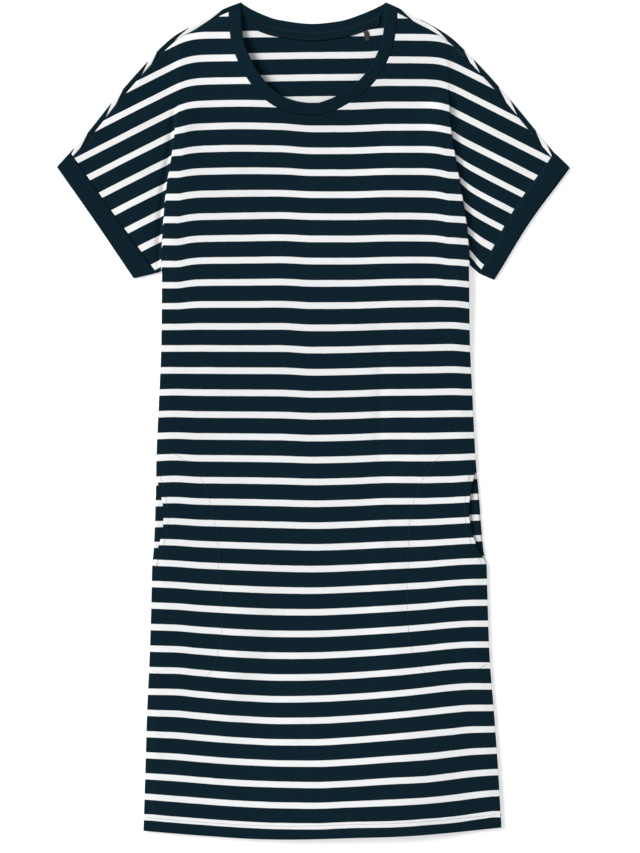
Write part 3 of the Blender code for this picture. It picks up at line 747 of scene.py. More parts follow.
def cloth_level(points, part):
    """Height on the middle line of the stripe through each point, found by stepping back.

    A stripe of level v lies at v + bow(x, v) - fall(out, v). Turned round, v is
    y - bow + fall, and putting the answer back in a few times settles it.
    """
    x, y = points[..., 0], points[..., 1]
    level = y.copy()
    for _ in range(SETTLES):
        falls = [stripe_fall(side, np.abs(x), y, level, part) for side in SIDES]
        fall = np.where(x >= 0, falls[RIGHT], falls[LEFT])
        level = y - stripe_bow(x, level) + fall
    return level


def front_cloth(points, part="body"):
    """UV of the front: across and stripe number."""
    return np.stack([points[..., 0] / REPEAT, stripe_number(cloth_level(points, part))], axis=-1)


sleeve_spot = np.array([[-230.0, 800.0], [230.0, 800.0]])
print("stripe numbers on both sleeves:", np.round(front_cloth(sleeve_spot, "sleeve")[:, 1], 1))

# %% [markdown]
# ### Stripes of the back
#
# Of the back one sees what the neckline shows and the narrow laps over the shoulders. It was
# cut from the same cloth, but its stripes don't meet the front's. They run nearly level inside
# the neckline, where a short table gives their bow, and fall along the upper arm.

# %% Stripes of the back
BACK_STRIPES_UP = 9.6
# out, drop: how far the back's stripes fall on the upper arm
BACK_FALL = ((90, 0), (123, 4), (147, 14.5), (200, 30), (239, 51), (280, 76), (307, 93))
# across, how much higher the back's stripes run inside the neckline
BACK_BOW = ((-105, 0.0), (-87, -1.1), (0, 0.0), (65, 0.6), (86, 2.4), (105, 0.0))
BACK_ARM, BACK_ARM_RUN = 640.0, 60.0


def back_cloth(points, part="body"):
    """UV of the back, whose stripes are level on the body and fall along the upper arm."""
    x, y = points[..., 0], points[..., 1]
    fall = read(BACK_FALL, 1, np.abs(x)) * ease((y - BACK_ARM) / BACK_ARM_RUN)
    if part == "body":
        fall = fall * (1.0 - ease((STRIPES_PART[LEFT] - y) / STRIPES_PART_RUN))
    level = y + fall - BACK_STRIPES_UP - read(BACK_BOW, 1, x)
    return np.stack([x / REPEAT, stripe_number(level)], axis=-1)


neck_spot = np.array([0.0, 960.0])
print("stripe number at the back's neck:", round(float(back_cloth(neck_spot)[1]), 1))

# %% [markdown]
# ## From arrays to meshes
#
# A grid of points becomes a sheet when neighbours are joined with quads. Several grids make up
# one panel, and their shared borders are welded. The Solidify modifier then gives the sheet
# its wall, half to each side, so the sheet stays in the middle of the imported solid. The bands
# are doubled and rounded, so they are made closed at once, by `rounded_strip`.

# %% Mesh helpers
WELD = 0.00001


def grid_faces(rows, columns, first=0, ring=False, tube=False):
    """Corner numbers of the quads of a grid; a ring closes its rows, a tube its columns."""
    index = first + np.arange(rows * columns).reshape(rows, columns)
    if ring:
        index = np.concatenate([index, index[:1]])
    if tube:
        index = np.concatenate([index, index[:, :1]], axis=1)
    quads = np.stack([index[:-1, :-1], index[:-1, 1:], index[1:, 1:], index[1:, :-1]], axis=-1)
    return quads.reshape(-1, 4)


def add_mesh(name, points, faces, material, uvs=None):
    """Object on the frame from points in millimetres; cloth, which has UVs, is also welded."""
    points = points * MM
    points[:, 1] -= LENGTH / 2 * MM
    data = bpy.data.meshes.new(name)
    data.from_pydata(points, [], faces)
    if uvs is not None:
        layer = data.uv_layers.new(name="cloth")
        layer.data.foreach_set("uv", uvs[faces.ravel()].astype(np.float32).ravel())
    work = bmesh.new()
    work.from_mesh(data)
    if uvs is not None:
        bmesh.ops.remove_doubles(work, verts=work.verts[:], dist=WELD)
    bmesh.ops.recalc_face_normals(work, faces=work.faces[:])
    work.to_mesh(data)
    work.free()
    data.shade_smooth()
    data.materials.append(material)
    piece = bpy.data.objects.new(name, data)
    bpy.context.scene.collection.objects.link(piece)
    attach(piece, "root")
    return piece


def make_piece(name, grids, material, wall=0.0, ring=False, tube=False):
    """Weld grids of (points, uv) into one piece on the frame, with a wall if it is a sheet."""
    faces = []
    first = 0
    for grid, _ in grids:
        rows, columns = grid.shape[:2]
        faces.append(grid_faces(rows, columns, first, ring, tube))
        first += rows * columns
    points = np.concatenate([grid.reshape(-1, 3) for grid, _ in grids])
    uvs = np.concatenate([uv.reshape(-1, 2) for _, uv in grids])
    piece = add_mesh(name, points, np.concatenate(faces), material, uvs)
    if wall:
        solid = piece.modifiers.new("wall", "SOLIDIFY")
        solid.thickness = wall * MM
        solid.offset = 0.0
        solid.use_even_offset = True
        solid.use_quality_normals = True
    return piece


def area_of(piece):
    """Area of a piece's mesh before its wall, in square metres."""
    return sum(face.area for face in piece.data.polygons)


print("a 3 × 4 grid has", len(grid_faces(3, 4)), "quads")

# %% [markdown]
# ### Strips
#
# A band is a strip with a top, an underside and two round edges. Its cross section is a flat
# oval, and it is carried along the middle surface, so it needs no Solidify. A Bevel modifier
# would round the edges too, with many more faces.

# %% Strips
EDGE_ROUNDING = 6


def normals_of(grid, ring=False):
    """Unit normals of a grid: cross product of its two directions."""
    if ring:
        long = np.roll(grid, -1, axis=0) - np.roll(grid, 1, axis=0)
    else:
        long = np.gradient(grid, axis=0)
    normal = np.cross(long, np.gradient(grid, axis=1))
    return normal / np.maximum(np.linalg.norm(normal, axis=-1), 1e-9)[..., None]


def rounded_strip(middle, thickness, ring=False, thinner=1.0):
    """Closed strip about a middle surface: thickness/2 × (1 - |2w - 1|^6)^½ to either side."""
    width = np.linspace(-1.0, 1.0, middle.shape[1])
    half = thickness / 2 * np.sqrt(np.maximum(1.0 - np.abs(width) ** EDGE_ROUNDING, 0.0))
    half = half * np.broadcast_to(thinner, len(middle))[:, None]
    lift = normals_of(middle, ring) * half[..., None]
    return np.concatenate([middle + lift, (middle - lift)[:, ::-1][:, 1:-1]], axis=1)


def strip_uv(grid, width):
    """UV along a closed strip: distance along, and back and forth across it."""
    half = grid.shape[1] // 2 + 1
    across = np.concatenate([np.linspace(0, 1, half), np.linspace(1, 0, half)[1:-1]])
    run = run_of(grid[:, 0])
    return np.stack(np.broadcast_arrays(run[:, None] / REPEAT, across[None] * width / REPEAT),
                    axis=-1)


def capped(grid):
    """Strip with its two ends drawn to a line, so that it is closed."""
    half = grid.shape[1] // 2 + 1
    ends = []
    for row in (grid[0], grid[-1]):
        under = np.concatenate([row[:1], row[half:][::-1], row[half - 1:half]])
        middle = (row[:half] + under) / 2
        ends.append(np.concatenate([middle, middle[::-1][1:-1]]))
    return np.concatenate([ends[0][None], grid, ends[1][None]])


flat_strip = with_height(np.stack(np.meshgrid(np.arange(5.0), np.arange(3.0)), axis=-1), 0.0)
print("a strip 1 mm thick is", round(float(np.ptp(rounded_strip(flat_strip, WALL)[..., 2])), 2))

# %% [markdown]
# ## Jersey
#
# Jersey is knitted: from the outside one sees columns of small Vs, about 0.75 mm wide, and each
# stripe edge is as ragged as those loops. The cloth is matt cotton with a soft bloom where
# light grazes it, which is the shader's sheen. The pattern is built from the `cloth` UV map:
# a triangle wave across gives the column, and the same wave pushes the rows up or down, which
# makes the V. The height of the loops goes into bump, because loops this small are texture.


# %% A helper for materials
class Nodes:
    """A small helper that adds nodes to one material and links them."""

    def __init__(self, name):
        """Start a material of this name with its Principled BSDF shader."""
        self.material = bpy.data.materials.new(name)
        self.material.use_nodes = True
        self.tree = self.material.node_tree
        self.shader = self.tree.nodes["Principled BSDF"]

    def put(self, socket, value):
        """Link an output to a socket, or set the socket to a value."""
        if isinstance(value, bpy.types.NodeSocket):
            self.tree.links.new(value, socket)
        else:
            socket.default_value = value

    def surface(self, **values):
        """Put values or outputs into the shader's sockets, with _ for the spaces in a name."""
        for name, value in values.items():
            self.put(self.shader.inputs[name.replace("_", " ")], value)

    def add(self, kind, *inputs, **settings):
        """Add a node, with its first inputs."""
        node = self.tree.nodes.new(kind)
        for key, value in settings.items():
            setattr(node, key, value)
        for socket, value in zip(node.inputs, inputs):
            self.put(socket, value)
        return node

    def math(self, operation, *inputs):
        """Output of a Math node."""
        return self.add("ShaderNodeMath", *inputs, operation=operation).outputs[0]

    def blend(self, factor, first, second):
        """Colour mix of two colours or outputs."""
        node = self.add("ShaderNodeMix", factor, data_type="RGBA")
        self.put(node.inputs[6], first)
        self.put(node.inputs[7], second)
        return node.outputs[2]

    def noise(self, vector, scale, detail=2.0):
        """Noise, at so many lumps a unit of the vector."""
        node = self.add("ShaderNodeTexNoise", vector)
        self.put(node.inputs["Scale"], scale)
        self.put(node.inputs["Detail"], detail)
        return node.outputs["Fac"]

    def bump(self, height, strength, distance):
        """Use a height as relief, at so many metres for a height of 1."""
        node = self.add("ShaderNodeBump")
        for name, value in (("Strength", strength), ("Distance", distance), ("Height", height)):
            self.put(node.inputs[name], value)
        self.surface(Normal=node.outputs[0])


def tint(colour, factor, plus=0.0):
    """A colour made lighter or darker: each part × factor + plus, with an alpha of 1."""
    return (*[part * factor + plus for part in colour], 1)


print("a tint:", tint((0.5, 0.5, 0.5), 0.8))

# %% [markdown]
# ### The knit, and its colours
#
# Navy and off-white yarn take turns, so a stripe is a range of stripe numbers: within 0.146 of
# a whole number the yarn is off-white. The edge of the range is moved by the height of the
# loops, which makes it ragged. Cotton yarn is also never one colour, so a slow noise and a fine
# one, for the fuzz, vary it a little.

# %% Jersey
NAVY = (0.0030, 0.0125, 0.0200)
NAVY_CLOUDS = (0.86, 1.16)
NAVY_FUZZ = (1.9, 0.002)
OFF_WHITE = (0.86, 0.86, 0.86)
WHITE_CLOUD = 0.96
WHITE_SHADE = (0.62, 0.64, 0.67, 1)
WHITE_HALF = 0.146
WHITE_BLUR = 0.010
WALES = 35.0
COURSES = 48.0
WALE_SLANT = 0.9
CLOUD_SCALE, FUZZ_SCALE = 1.7, 60.0
RAGGED, UNEVEN = 0.05, 0.02
MIDDLE_LOOP = 0.2
LOOP_STARTS = 0.25
FUZZ_ON_NAVY, FUZZ_ON_WHITE, FUZZ_IN_RELIEF = 0.35, 0.12, 0.25
ROUGH = (0.80, 0.96)
RELIEF_SHOWS = 0.35
KNIT_RELIEF = 0.0004


def knit(nodes):
    """Knitted loops: (height of the loop, stripe number, cloth vector)."""
    cloth = nodes.add("ShaderNodeUVMap", uv_map="cloth").outputs[0]
    parts = nodes.add("ShaderNodeSeparateXYZ", cloth)
    across = nodes.math("PINGPONG", nodes.math("MULTIPLY", parts.outputs[0], WALES), 0.5)
    slant = nodes.math("MULTIPLY", across, WALE_SLANT)
    course = nodes.math("ADD", nodes.math("MULTIPLY", parts.outputs[1], COURSES), slant)
    loop = nodes.math("PINGPONG", course, 0.5)
    column_round = nodes.math("SUBTRACT", 0.5, nodes.math("POWER", across, 2.0))
    height = nodes.math("MULTIPLY", nodes.math("ADD", loop, LOOP_STARTS), column_round)
    return height, parts.outputs[1], cloth


def jersey(name, striped):
    """Navy jersey, with off-white stripes or without."""
    nodes = Nodes(name)
    height, number, cloth = knit(nodes)
    cloudy = nodes.noise(cloth, CLOUD_SCALE)
    fuzz = nodes.noise(cloth, FUZZ_SCALE, 4.0)
    dark = nodes.blend(cloudy, *[tint(NAVY, factor) for factor in NAVY_CLOUDS])
    fuzzy = nodes.math("MULTIPLY", fuzz, FUZZ_ON_NAVY)
    colour = nodes.blend(fuzzy, dark, tint(NAVY, *NAVY_FUZZ))
    if striped:
        ragged = nodes.math("MULTIPLY", nodes.math("SUBTRACT", height, MIDDLE_LOOP), RAGGED)
        uneven = nodes.math("MULTIPLY", nodes.math("SUBTRACT", cloudy, 0.5), UNEVEN)
        place = nodes.math("ADD", nodes.math("ADD", number, ragged), uneven)
        off = nodes.math("PINGPONG", place, 0.5)
        white = nodes.add("ShaderNodeMapRange", off, WHITE_HALF - WHITE_BLUR,
                          WHITE_HALF + WHITE_BLUR, 1.0, 0.0,
                          interpolation_type="SMOOTHSTEP").outputs[0]
        pale = nodes.blend(cloudy, tint(OFF_WHITE, WHITE_CLOUD), tint(OFF_WHITE, 1.0))
        shaded = nodes.blend(nodes.math("MULTIPLY", fuzz, FUZZ_ON_WHITE), pale, WHITE_SHADE)
        colour = nodes.blend(white, colour, shaded)
    rough = nodes.add("ShaderNodeMapRange", fuzz, 0.0, 1.0, *ROUGH).outputs[0]
    nodes.surface(Base_Color=colour, Roughness=rough, Specular_IOR_Level=0.03,
                  Sheen_Weight=0.03, Sheen_Roughness=0.45, Sheen_Tint=(0.35, 0.65, 0.85, 1.0))
    relief = nodes.math("ADD", height, nodes.math("MULTIPLY", fuzz, FUZZ_IN_RELIEF))
    nodes.bump(relief, RELIEF_SHOWS, KNIT_RELIEF)
    return nodes.material


striped_jersey = jersey("striped_jersey", striped=True)
plain_jersey = jersey("plain_jersey", striped=False)
print("materials:", ", ".join(material.name for material in bpy.data.materials))

# %% [markdown]
# ### Thread and tape
#
# Sewing thread and woven tape are twisted or ribbed finely. Both get a diagonal wave in their
# relief, fine enough to be seen only close up, and their colour carries painted shade in the
# wave's grooves and a painted highlight on its crests.

# %% Thread
TWIST_SCALE = 900.0
TWIST_RELIEF = 0.00005
TWIST_SHADE_AND_HIGHLIGHT = (0.7, 1.4)


def thread(name, colour):
    """Sewing thread: twisted, so a fine slanted wave goes along it, with painted shade and
    highlight.
    """
    nodes = Nodes(name)
    place = nodes.add("ShaderNodeTexCoord").outputs["Object"]
    wave = nodes.add("ShaderNodeTexWave", place, bands_direction="DIAGONAL")
    nodes.put(wave.inputs["Scale"], TWIST_SCALE)
    # Colour darker where the wave is low and lighter where it is high: painted shade and painted
    # highlight of the twist
    tone = nodes.blend(wave.outputs["Fac"], *[tint(colour, factor) for factor in TWIST_SHADE_AND_HIGHLIGHT])
    nodes.surface(Base_Color=tone, Roughness=0.6)
    nodes.bump(wave.outputs["Fac"], 0.3, TWIST_RELIEF)
    return nodes.material


navy_thread = thread("navy_thread", (0.004, 0.014, 0.021))
tab_tape = thread("tab_tape", (0.022, 0.02, 0.026))
print("sewn with", navy_thread.name)

# %% [markdown]
# ## Where a sleeve ends: the seam of the cuff
#
# A cuff is a straight strip on the pattern, but in the photo its seam and its free edge bow a
# little where the sleeve lies. Both lines are a straight line between two corners plus a bow
# that is sin(π × share) to the power of 1.6, which is fuller in the middle than a sine. The
# sleeve runs a little into the ditch at the seam, so that no light comes through.

# %% Seam of the cuff
# left out, left height, right out, right height: the corners of the cuffs
CUFF_SEAM_TOP = (290.6, 821.6, 287.5, 821.4)
CUFF_SEAM_BOTTOM = (186.8, 677.0, 197.7, 676.5)
CUFF_SEAM_BOW = (-0.9, 4.6)
CUFF_LAP = 0.45
CUFF_BOW_POWER = 1.6


def corner_of(side, row):
    """One corner of a cuff as a point."""
    return np.array([SIGN[side] * row[2 * side], row[2 * side + 1]])


def bow_of(share):
    """Shape of the bow of a cuff: sin(π × share)^1.6."""
    return np.sin(math.pi * np.clip(share, 0.0, 1.0)) ** CUFF_BOW_POWER


def inwards_of(side, way):
    """Unit normal to the way down a cuff, on the body's side: a right angle to it."""
    return np.array([-way[1], way[0]]) * -SIGN[side] / np.linalg.norm(way)


def cuff_seam(side):
    """Seam of a cuff: its top corner, the way to its bottom one, and a unit normal inwards."""
    top = corner_of(side, CUFF_SEAM_TOP)
    way = corner_of(side, CUFF_SEAM_BOTTOM) - top
    return top, way, inwards_of(side, way)


for side in SIDES:
    print(SIDE_NAMES[side], "sleeve is", round(np.linalg.norm(cuff_seam(side)[1])), "mm wide")

# %% [markdown]
# ## Folds
#
# At the edge of the body the cloth turns in under itself, runs in, turns again and comes back
# out as the sleeve: that is the tuck at the underarm. Blender's Simple Deform could bend a
# strip, but a half circle swept along an edge is one line of trigonometry, and the welded
# result has no seam.

# %% Folds
TURN_STEPS = 5
SLEEVE_START = 1.8
SLEEVE_START_RUN = 8.0


def half_turn(start, outward, radius, up, angle=math.pi, steps=TURN_STEPS):
    """Points of a fold: start + outward × r sin θ, and up × r (1 - cos θ)."""
    points = []
    for t in np.linspace(0.0, 1.0, steps + 1)[1:]:
        theta = t * angle
        step = np.zeros_like(start)
        step[..., :2] = outward * np.asarray(radius * np.sin(theta))[..., None]
        step[..., 2] = up * radius * (1 - np.cos(theta))
        points.append(start + step)
    return points


def sleeve_start(side, height):
    """Distance past the body's edge at which the sleeve comes out from under it."""
    return SLEEVE_START * ease((TUCK_START[side] - height) / SLEEVE_START_RUN)


def tuck_rows(side, edge, up, lift):
    """Tuck from the body's edge in under the body and out again to the start of the sleeve."""
    height = edge[:, 1]
    turn = tuck_turn(side, height)
    depth = tuck_depth(side, height)
    first = half_turn(edge, np.array([SIGN[side], 0.0]), TURN, up, turn)
    corner = first[-1].copy()
    corner[:, 0] += SIGN[side] * depth * np.cos(turn)
    corner[:, 2] += up * depth * np.sin(turn) - lift
    second = []
    for t in np.linspace(1.0, 0.0, TURN_STEPS + 1)[1:]:
        theta = t * turn
        point = corner.copy()
        point[:, 0] += SIGN[side] * TURN * (np.sin(turn) - np.sin(theta))
        point[:, 2] += up * TURN * (np.cos(theta) - np.cos(turn))
        second.append(point)
    last = second[-1].copy()
    last[:, 0] = SIGN[side] * (body_edge(side, height) + sleeve_start(side, height))
    return np.stack([edge] + first + [corner] + second + [last], axis=1)


fold = half_turn(np.zeros((1, 3)), np.array([1.0, 0.0]), TURN, 1)
print("a fold is", round(float(fold[-1][0, 2]), 2), "mm high")

# %% [markdown]
# ## Sides of a panel
#
# Front and back are each one piece of cloth, cut in one with their short sleeves. A panel is
# drawn from its edges: down the body, along each shoulder, along each upper arm to the cuff.
# Beside every cut edge one narrow row of faces is kept, so that the smooth shading of the flat
# cloth doesn't bleed into the thin wall of its edge.

# %% Sides of a panel
ROWS_ABOVE = 22
ROWS_TO_CORNER = 20
ROWS_TO_UNDERARM = 40
ROW_STEP = 3.6
CORNER_BELOW = 58.0
SLEEVE_COLUMNS = 30
SHOULDER_COLUMNS = 20
SLEEVE_CROWDS = 1.5
CORNER_AT = ROWS_ABOVE + ROWS_TO_CORNER
LAST_TUCK_ROW = CORNER_AT + ROWS_TO_UNDERARM


def panel_sides(side, shoulder_inset, inset):
    """Points down the body's edge: above the tuck, along it, and on to the hem."""
    start = TUCK_START[side]
    corner = start - CORNER_BELOW
    long = corner - UNDERARM[side]
    foot_height = BODY_EDGE[0][0]
    top = top_of(shoulder_line(side, shoulder_inset), body_edge(side, LENGTH))
    low_rows = math.ceil((UNDERARM[LEFT] - foot_height) / ROW_STEP)
    heights = np.concatenate([
        np.linspace(top, start, ROWS_ABOVE + 1)[:-1],
        np.linspace(start, corner, ROWS_TO_CORNER + 1)[:-1],
        corner - long * crowded(ROWS_TO_UNDERARM + 1, long)[:-1],
        np.linspace(UNDERARM[side], foot_height + 2 * ROW_STEP, low_rows),
    ])
    edge = on_side(side, body_edge(side, heights) - inset(side, heights), heights)
    foot = np.array([SIGN[side] * BODY_EDGE[0][1 + side], 0.0])
    foot[1] = hem_height(foot[0]) + FOLD_REACH
    return np.concatenate([edge, [foot]])


def sleeve_shares(length):
    """Shares across a sleeve: t^1.5, so they start close together, with a short last step."""
    shares = np.linspace(0, 1, SLEEVE_COLUMNS + 1) ** SLEEVE_CROWDS
    shares[-2] = max(1 - EDGE_STEP / length, (1 + shares[-3]) / 2)
    return shares


def overarm(side, inset, start):
    """Points along the upper arm, from the body's edge to the seam of the cuff."""
    line = shoulder_line(side, inset)
    line = np.concatenate([start[None], line[np.abs(line[:, 0]) > abs(start[0]) + NEAREST]])
    top, way, inwards = cuff_seam(side)
    share = np.clip((line - top) @ way / (way @ way), 0.0, 1.0)
    room = (line - top) @ inwards + CUFF_LAP - CUFF_SEAM_BOW[side] * bow_of(share)
    line = meet(line, room)
    return along(line, sleeve_shares(run_of(line)[-1]))


def shoulder_row(side, inset, neck_corner, start):
    """Points along a shoulder from the neck to the body's edge, both ends given."""
    line = shoulder_line(side, inset)
    out = np.abs(line[:, 0])
    between = line[(out > abs(neck_corner[0]) + NEAREST) & (out < abs(start[0]) - NEAREST)]
    whole = np.concatenate([neck_corner[None], between, start[None]])
    return along(whole, crowded(SHOULDER_COLUMNS + 1, run_of(whole)[-1], both=True))


def neck_shares(corner_share, neck_columns):
    """Shares of a neckline's length at which a panel has points."""
    beside = np.linspace(0, corner_share, CORNER_AT + 1)
    below = np.linspace(corner_share, 1 - corner_share, neck_columns + 1)
    return np.concatenate([beside, below[1:-1], 1 - beside[::-1]])


print("a body edge has", len(panel_sides(LEFT, SHOULDER_SEAM, no_inset)), "points")

# %% [markdown]
# ## Sleeves
#
# A sleeve is one patch between the body's edge, the upper arm, the seam of the cuff and a
# short underarm. Beside the fold it lies on the tuck of the other panel and falls away from it,
# and a few creases run from the fold towards the cuff, held down at all four seams.

# %% Sleeves
SLEEVE_SLOPES = (2.4, 7.5)
# out, height at one end, out, height at the other, width, lift: both sleeves
SLEEVE_CREASES = (
    (188, 800, 262, 812, 9, 1.5),
    (190, 762, 243, 752, 8, 1.6),
    (196, 726, 222, 716, 7, 1.1),
    (176, 868, 232, 852, 10, 1.2),
)
CREASES_FROM, CREASES_RUN = 2.0, 14.0
# the sleeve's short bottom edge: from and to, and how far its end is below the cuff's corner
SLEEVE_FOOT = (180.0, 200.0)
SLEEVE_FOOT_BELOW = 0.5
# the ridge along the fold: height, where it rises and tops, and how far it falls away
FOLD_RIDGES = (2.3, 0.0)
FOLD_RIDGE_IN, FOLD_RIDGE_OUT, FOLD_RIDGE_FALLS = 2.6, 12.0, 100.0
FOLD_RIDGE_RUN = 30.0
# how far the cuff, the shoulder and the underarm hold the creases down
CUFF_HOLD, SHOULDER_HOLD, UNDERARM_HOLD = 14.0, 12.0, 10.0


def sleeve_lift(points, side):
    """Height that the sleeve keeps beside the body, falling away outwards."""
    beyond = SIGN[side] * points[..., 0] - body_edge(side, points[..., 1])
    falling = 1.0 - ease((beyond - SLEEVE_START) / SLEEVE_SLOPES[side])
    return tuck_rise(side, points[..., 1]) * falling


def sleeve_relief(side, points):
    """Creases of one sleeve, held down at its four seams: ridges × distances to its edges."""
    own = points.copy()
    own[..., 0] = SIGN[side] * points[..., 0]
    out, height = own[..., 0], own[..., 1]
    top, _, inwards = cuff_seam(side)
    from_cuff = (points[..., :2] - top) @ inwards
    under = top_of(shoulder_line(side, SHOULDER_SEAM), out) - height
    beyond = out - body_edge(side, height)
    bottom = (UNDERARM[side], CUFF_SEAM_BOTTOM[-1] - SLEEVE_FOOT_BELOW)
    above = height - np.interp(out, SLEEVE_FOOT, bottom)
    hold = ease(from_cuff / CUFF_HOLD) * ease(under / SHOULDER_HOLD) * ease(above / UNDERARM_HOLD)
    along_fold = FOLD_RIDGES[side] * ease((TUCK_START[side] - height) / FOLD_RIDGE_RUN)
    along_fold = along_fold * (1 - ease((beyond - FOLD_RIDGE_OUT) / FOLD_RIDGE_FALLS))
    along_fold = along_fold * ease((beyond - FOLD_RIDGE_IN) / (FOLD_RIDGE_OUT - FOLD_RIDGE_IN))
    own_creases = ridges(own, SLEEVE_CREASES) * ease((beyond - CREASES_FROM) / CREASES_RUN)
    return (own_creases + along_fold) * hold


print("creases on each sleeve:", len(SLEEVE_CREASES))

# %% [markdown]
# ### One sleeve with its tuck
#
# The tuck hangs from the body's edge, and the sleeve starts where the tuck comes out again.
# Both are kept as grids with the same rows, so that they weld along the fold. In the tuck the
# stripes are blended from the body's to the sleeve's, as one cloth would carry them round.

# %% One sleeve with its tuck
SEAM_CROWDS = 1.15
EDGE_LIFT_REACH = 6.0


def sleeve_and_tuck(side, edge, edge_height, edge_lift, inset, level, up, cloth):
    """Grids of one sleeve and its tuck, and the sleeve's top row."""
    first = ROWS_ABOVE
    solid_edge = with_height(edge, edge_height)
    lift = edge_lift[first:LAST_TUCK_ROW + 1]
    folds = tuck_rows(side, solid_edge[first:LAST_TUCK_ROW + 1], up, lift)
    folds[0] = solid_edge[first]
    top = overarm(side, inset, edge[0])
    inner = np.concatenate([edge[:first + 1], folds[1:, -1, :2]])
    shares = np.linspace(0, 1, len(inner)) ** SEAM_CROWDS
    _, _, inwards = cuff_seam(side)
    way = corner_of(side, CUFF_SEAM_BOTTOM) - CUFF_LAP * inwards - top[-1]
    bow = CUFF_SEAM_BOW[side] * bow_of(shares)
    seam = top[-1] + way * shares[:, None] + inwards * bow[:, None]
    wide = np.linalg.norm(seam[-1] - inner[-1])
    grid = patch(inner, seam, top, straight(inner[-1], seam[-1], sleeve_shares(wide)))
    height = level + sleeve_lift(grid, side)
    if up < 0:
        height = height + sleeve_relief(side, grid)
    height[:first + 1, 0] = edge_height[:first + 1]
    height[first + 1:, 0] = folds[1:, -1, 2]
    past = SIGN[side] * (grid[..., 0] - grid[:, :1, 0])
    fade = np.exp(-np.maximum(past, 0.0) / EDGE_LIFT_REACH)
    height[:first + 1, 1:] += edge_lift[:first + 1, None] * fade[:first + 1, 1:]
    uv = cloth(grid, "sleeve")
    share = np.linspace(0, 1, folds.shape[1])[None, :, None]
    body_uv = cloth(folds[:, :1, :2], "body")
    sleeve_uv = np.concatenate([body_uv[:1], uv[first + 1:, :1]])
    tuck_uv = body_uv * (1 - share) + sleeve_uv * share
    sleeve = with_height(grid, height)
    return [(folds, tuck_uv), (sleeve, uv)], sleeve[0], uv[0]


print("rows shared by a sleeve and its tuck:", LAST_TUCK_ROW - ROWS_ABOVE)

# %% [markdown]
# ## A whole panel
#
# The body is a large patch under two smaller ones beside the neck, and its hem turns under and
# lies flat. The front and the back are made by the same function. The front's folds go down,
# and the back's go up, so the two tucks lie on each other and their sleeves meet at the cuff.

# %% A whole panel
HEM_ROWS = 5


def turned_hem(edge, hem, uv, lift_of, up):
    """Hem: half a turn, then a flap that follows the creases of the cloth it lies on."""
    turned = half_turn(edge, np.array([0.0, -1.0]), TURN, up)
    hem_rise = lift_of(hem)
    flaps = []
    for part in np.linspace(0, 1, HEM_ROWS)[1:]:
        flap = turned[-1] + np.array([0.0, HEM_TURNED * part, 0.0])
        flap[:, 2] += lift_of(flap) - hem_rise
        flaps.append(flap)
    grid = np.stack([edge] + turned + flaps)
    hem_uv = np.repeat(uv[None], len(grid), axis=0)
    hem_uv[..., 1] += run_of(grid[:, 0])[:, None] / REPEAT
    return grid, hem_uv


def panel(neck, shares, shoulder_inset, layers_of, lift_of, up, inset, cloth):
    """Front or back: shoulders, body, sleeves, tucks and turned hem, as grids."""
    grids, tops, shoulder_rows = [], [], []
    edges = [panel_sides(side, shoulder_inset, inset) for side in SIDES]
    points = along(neck, shares)
    for side in SIDES:
        edge = edges[side]
        beside_neck = (points if side == LEFT else points[::-1])[:CORNER_AT + 1]
        top = shoulder_row(side, shoulder_inset, beside_neck[0], edge[0])[::-1]
        wide = abs(edge[CORNER_AT, 0] - beside_neck[-1, 0])
        bottom = straight(edge[CORNER_AT], beside_neck[-1], crowded(len(top), wide, both=True))
        grid = patch(edge[:CORNER_AT + 1], beside_neck, top, bottom)
        grids.append((with_height(grid, layers_of(grid) + lift_of(grid)), cloth(grid)))
        tops.append(bottom)
        level = float(layers_of(top[:1])[0])
        lift = lift_of(edge)
        parts, sleeve_top, sleeve_uv = sleeve_and_tuck(
            side, edge, layers_of(edge) + lift, lift, shoulder_inset, level, up, cloth)
        grids += parts
        row = with_height(top, layers_of(top) + lift_of(top))[::-1]
        uv = np.concatenate([cloth(top)[::-1], sleeve_uv[1:]])
        shoulder_rows.append((np.concatenate([row, sleeve_top[1:]]), uv))
    top = np.concatenate([tops[LEFT], points[CORNER_AT + 1:-CORNER_AT - 1], tops[RIGHT][::-1]])
    first, last = edges[LEFT][-1, 0], edges[RIGHT][-1, 0]
    hem_x = first + (last - first) * crowded(len(top), last - first, both=True)
    hem = np.stack([hem_x, hem_height(hem_x) + FOLD_REACH], axis=1)
    grid = patch(edges[LEFT][CORNER_AT:], edges[RIGHT][CORNER_AT:], top, hem)
    solid_grid = with_height(grid, layers_of(grid) + lift_of(grid))
    uv = cloth(grid)
    grids += [(solid_grid, uv), turned_hem(solid_grid[-1], hem, uv[-1], lift_of, up)]
    return grids, shoulder_rows


print("rows of a turned hem:", TURN_STEPS + HEM_ROWS)

# %% [markdown]
# ## The front
#
# The front ends at the shoulder seam, which runs just in front of the shoulder's fold. Its
# neckline lies on the seam line of the band, and at the pocket mouths its edge is drawn in.

# %% The front
FRONT_CORNER = 0.34
NECK_COLUMNS = 44
front_inset = SHOULDER_SEAM + GAP / 2
front_neck = neck_line(FRONT_NECK, 0.0, front_inset)
front_grids, _ = panel(front_neck, neck_shares(FRONT_CORNER, NECK_COLUMNS), front_inset,
                       front_layers, front_lift, -1, mouth_inset, front_cloth)
front = make_piece("front_panel_cloth", front_grids, striped_jersey, WALL)
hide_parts("front_panel")
print("front:", len(front.data.polygons), "faces,", round(area_of(front), 3), "square metres")

# %% [markdown]
# ## The back, with the laps over its shoulders
#
# The back is the same panel the other way up. It also wraps over the shoulder and the upper arm
# to its seam with the front: half a turn along the whole row of points, then a short lap that
# ends a gap before the front. Its stripes are read where the lap would lie if it were unrolled.

# %% The back
BACK_CORNER = 0.16
LAP_ROWS = 5


def back_layers(points):
    """Middle surface of the back before creases."""
    return np.full(points.shape[:-1], WALL / 2)


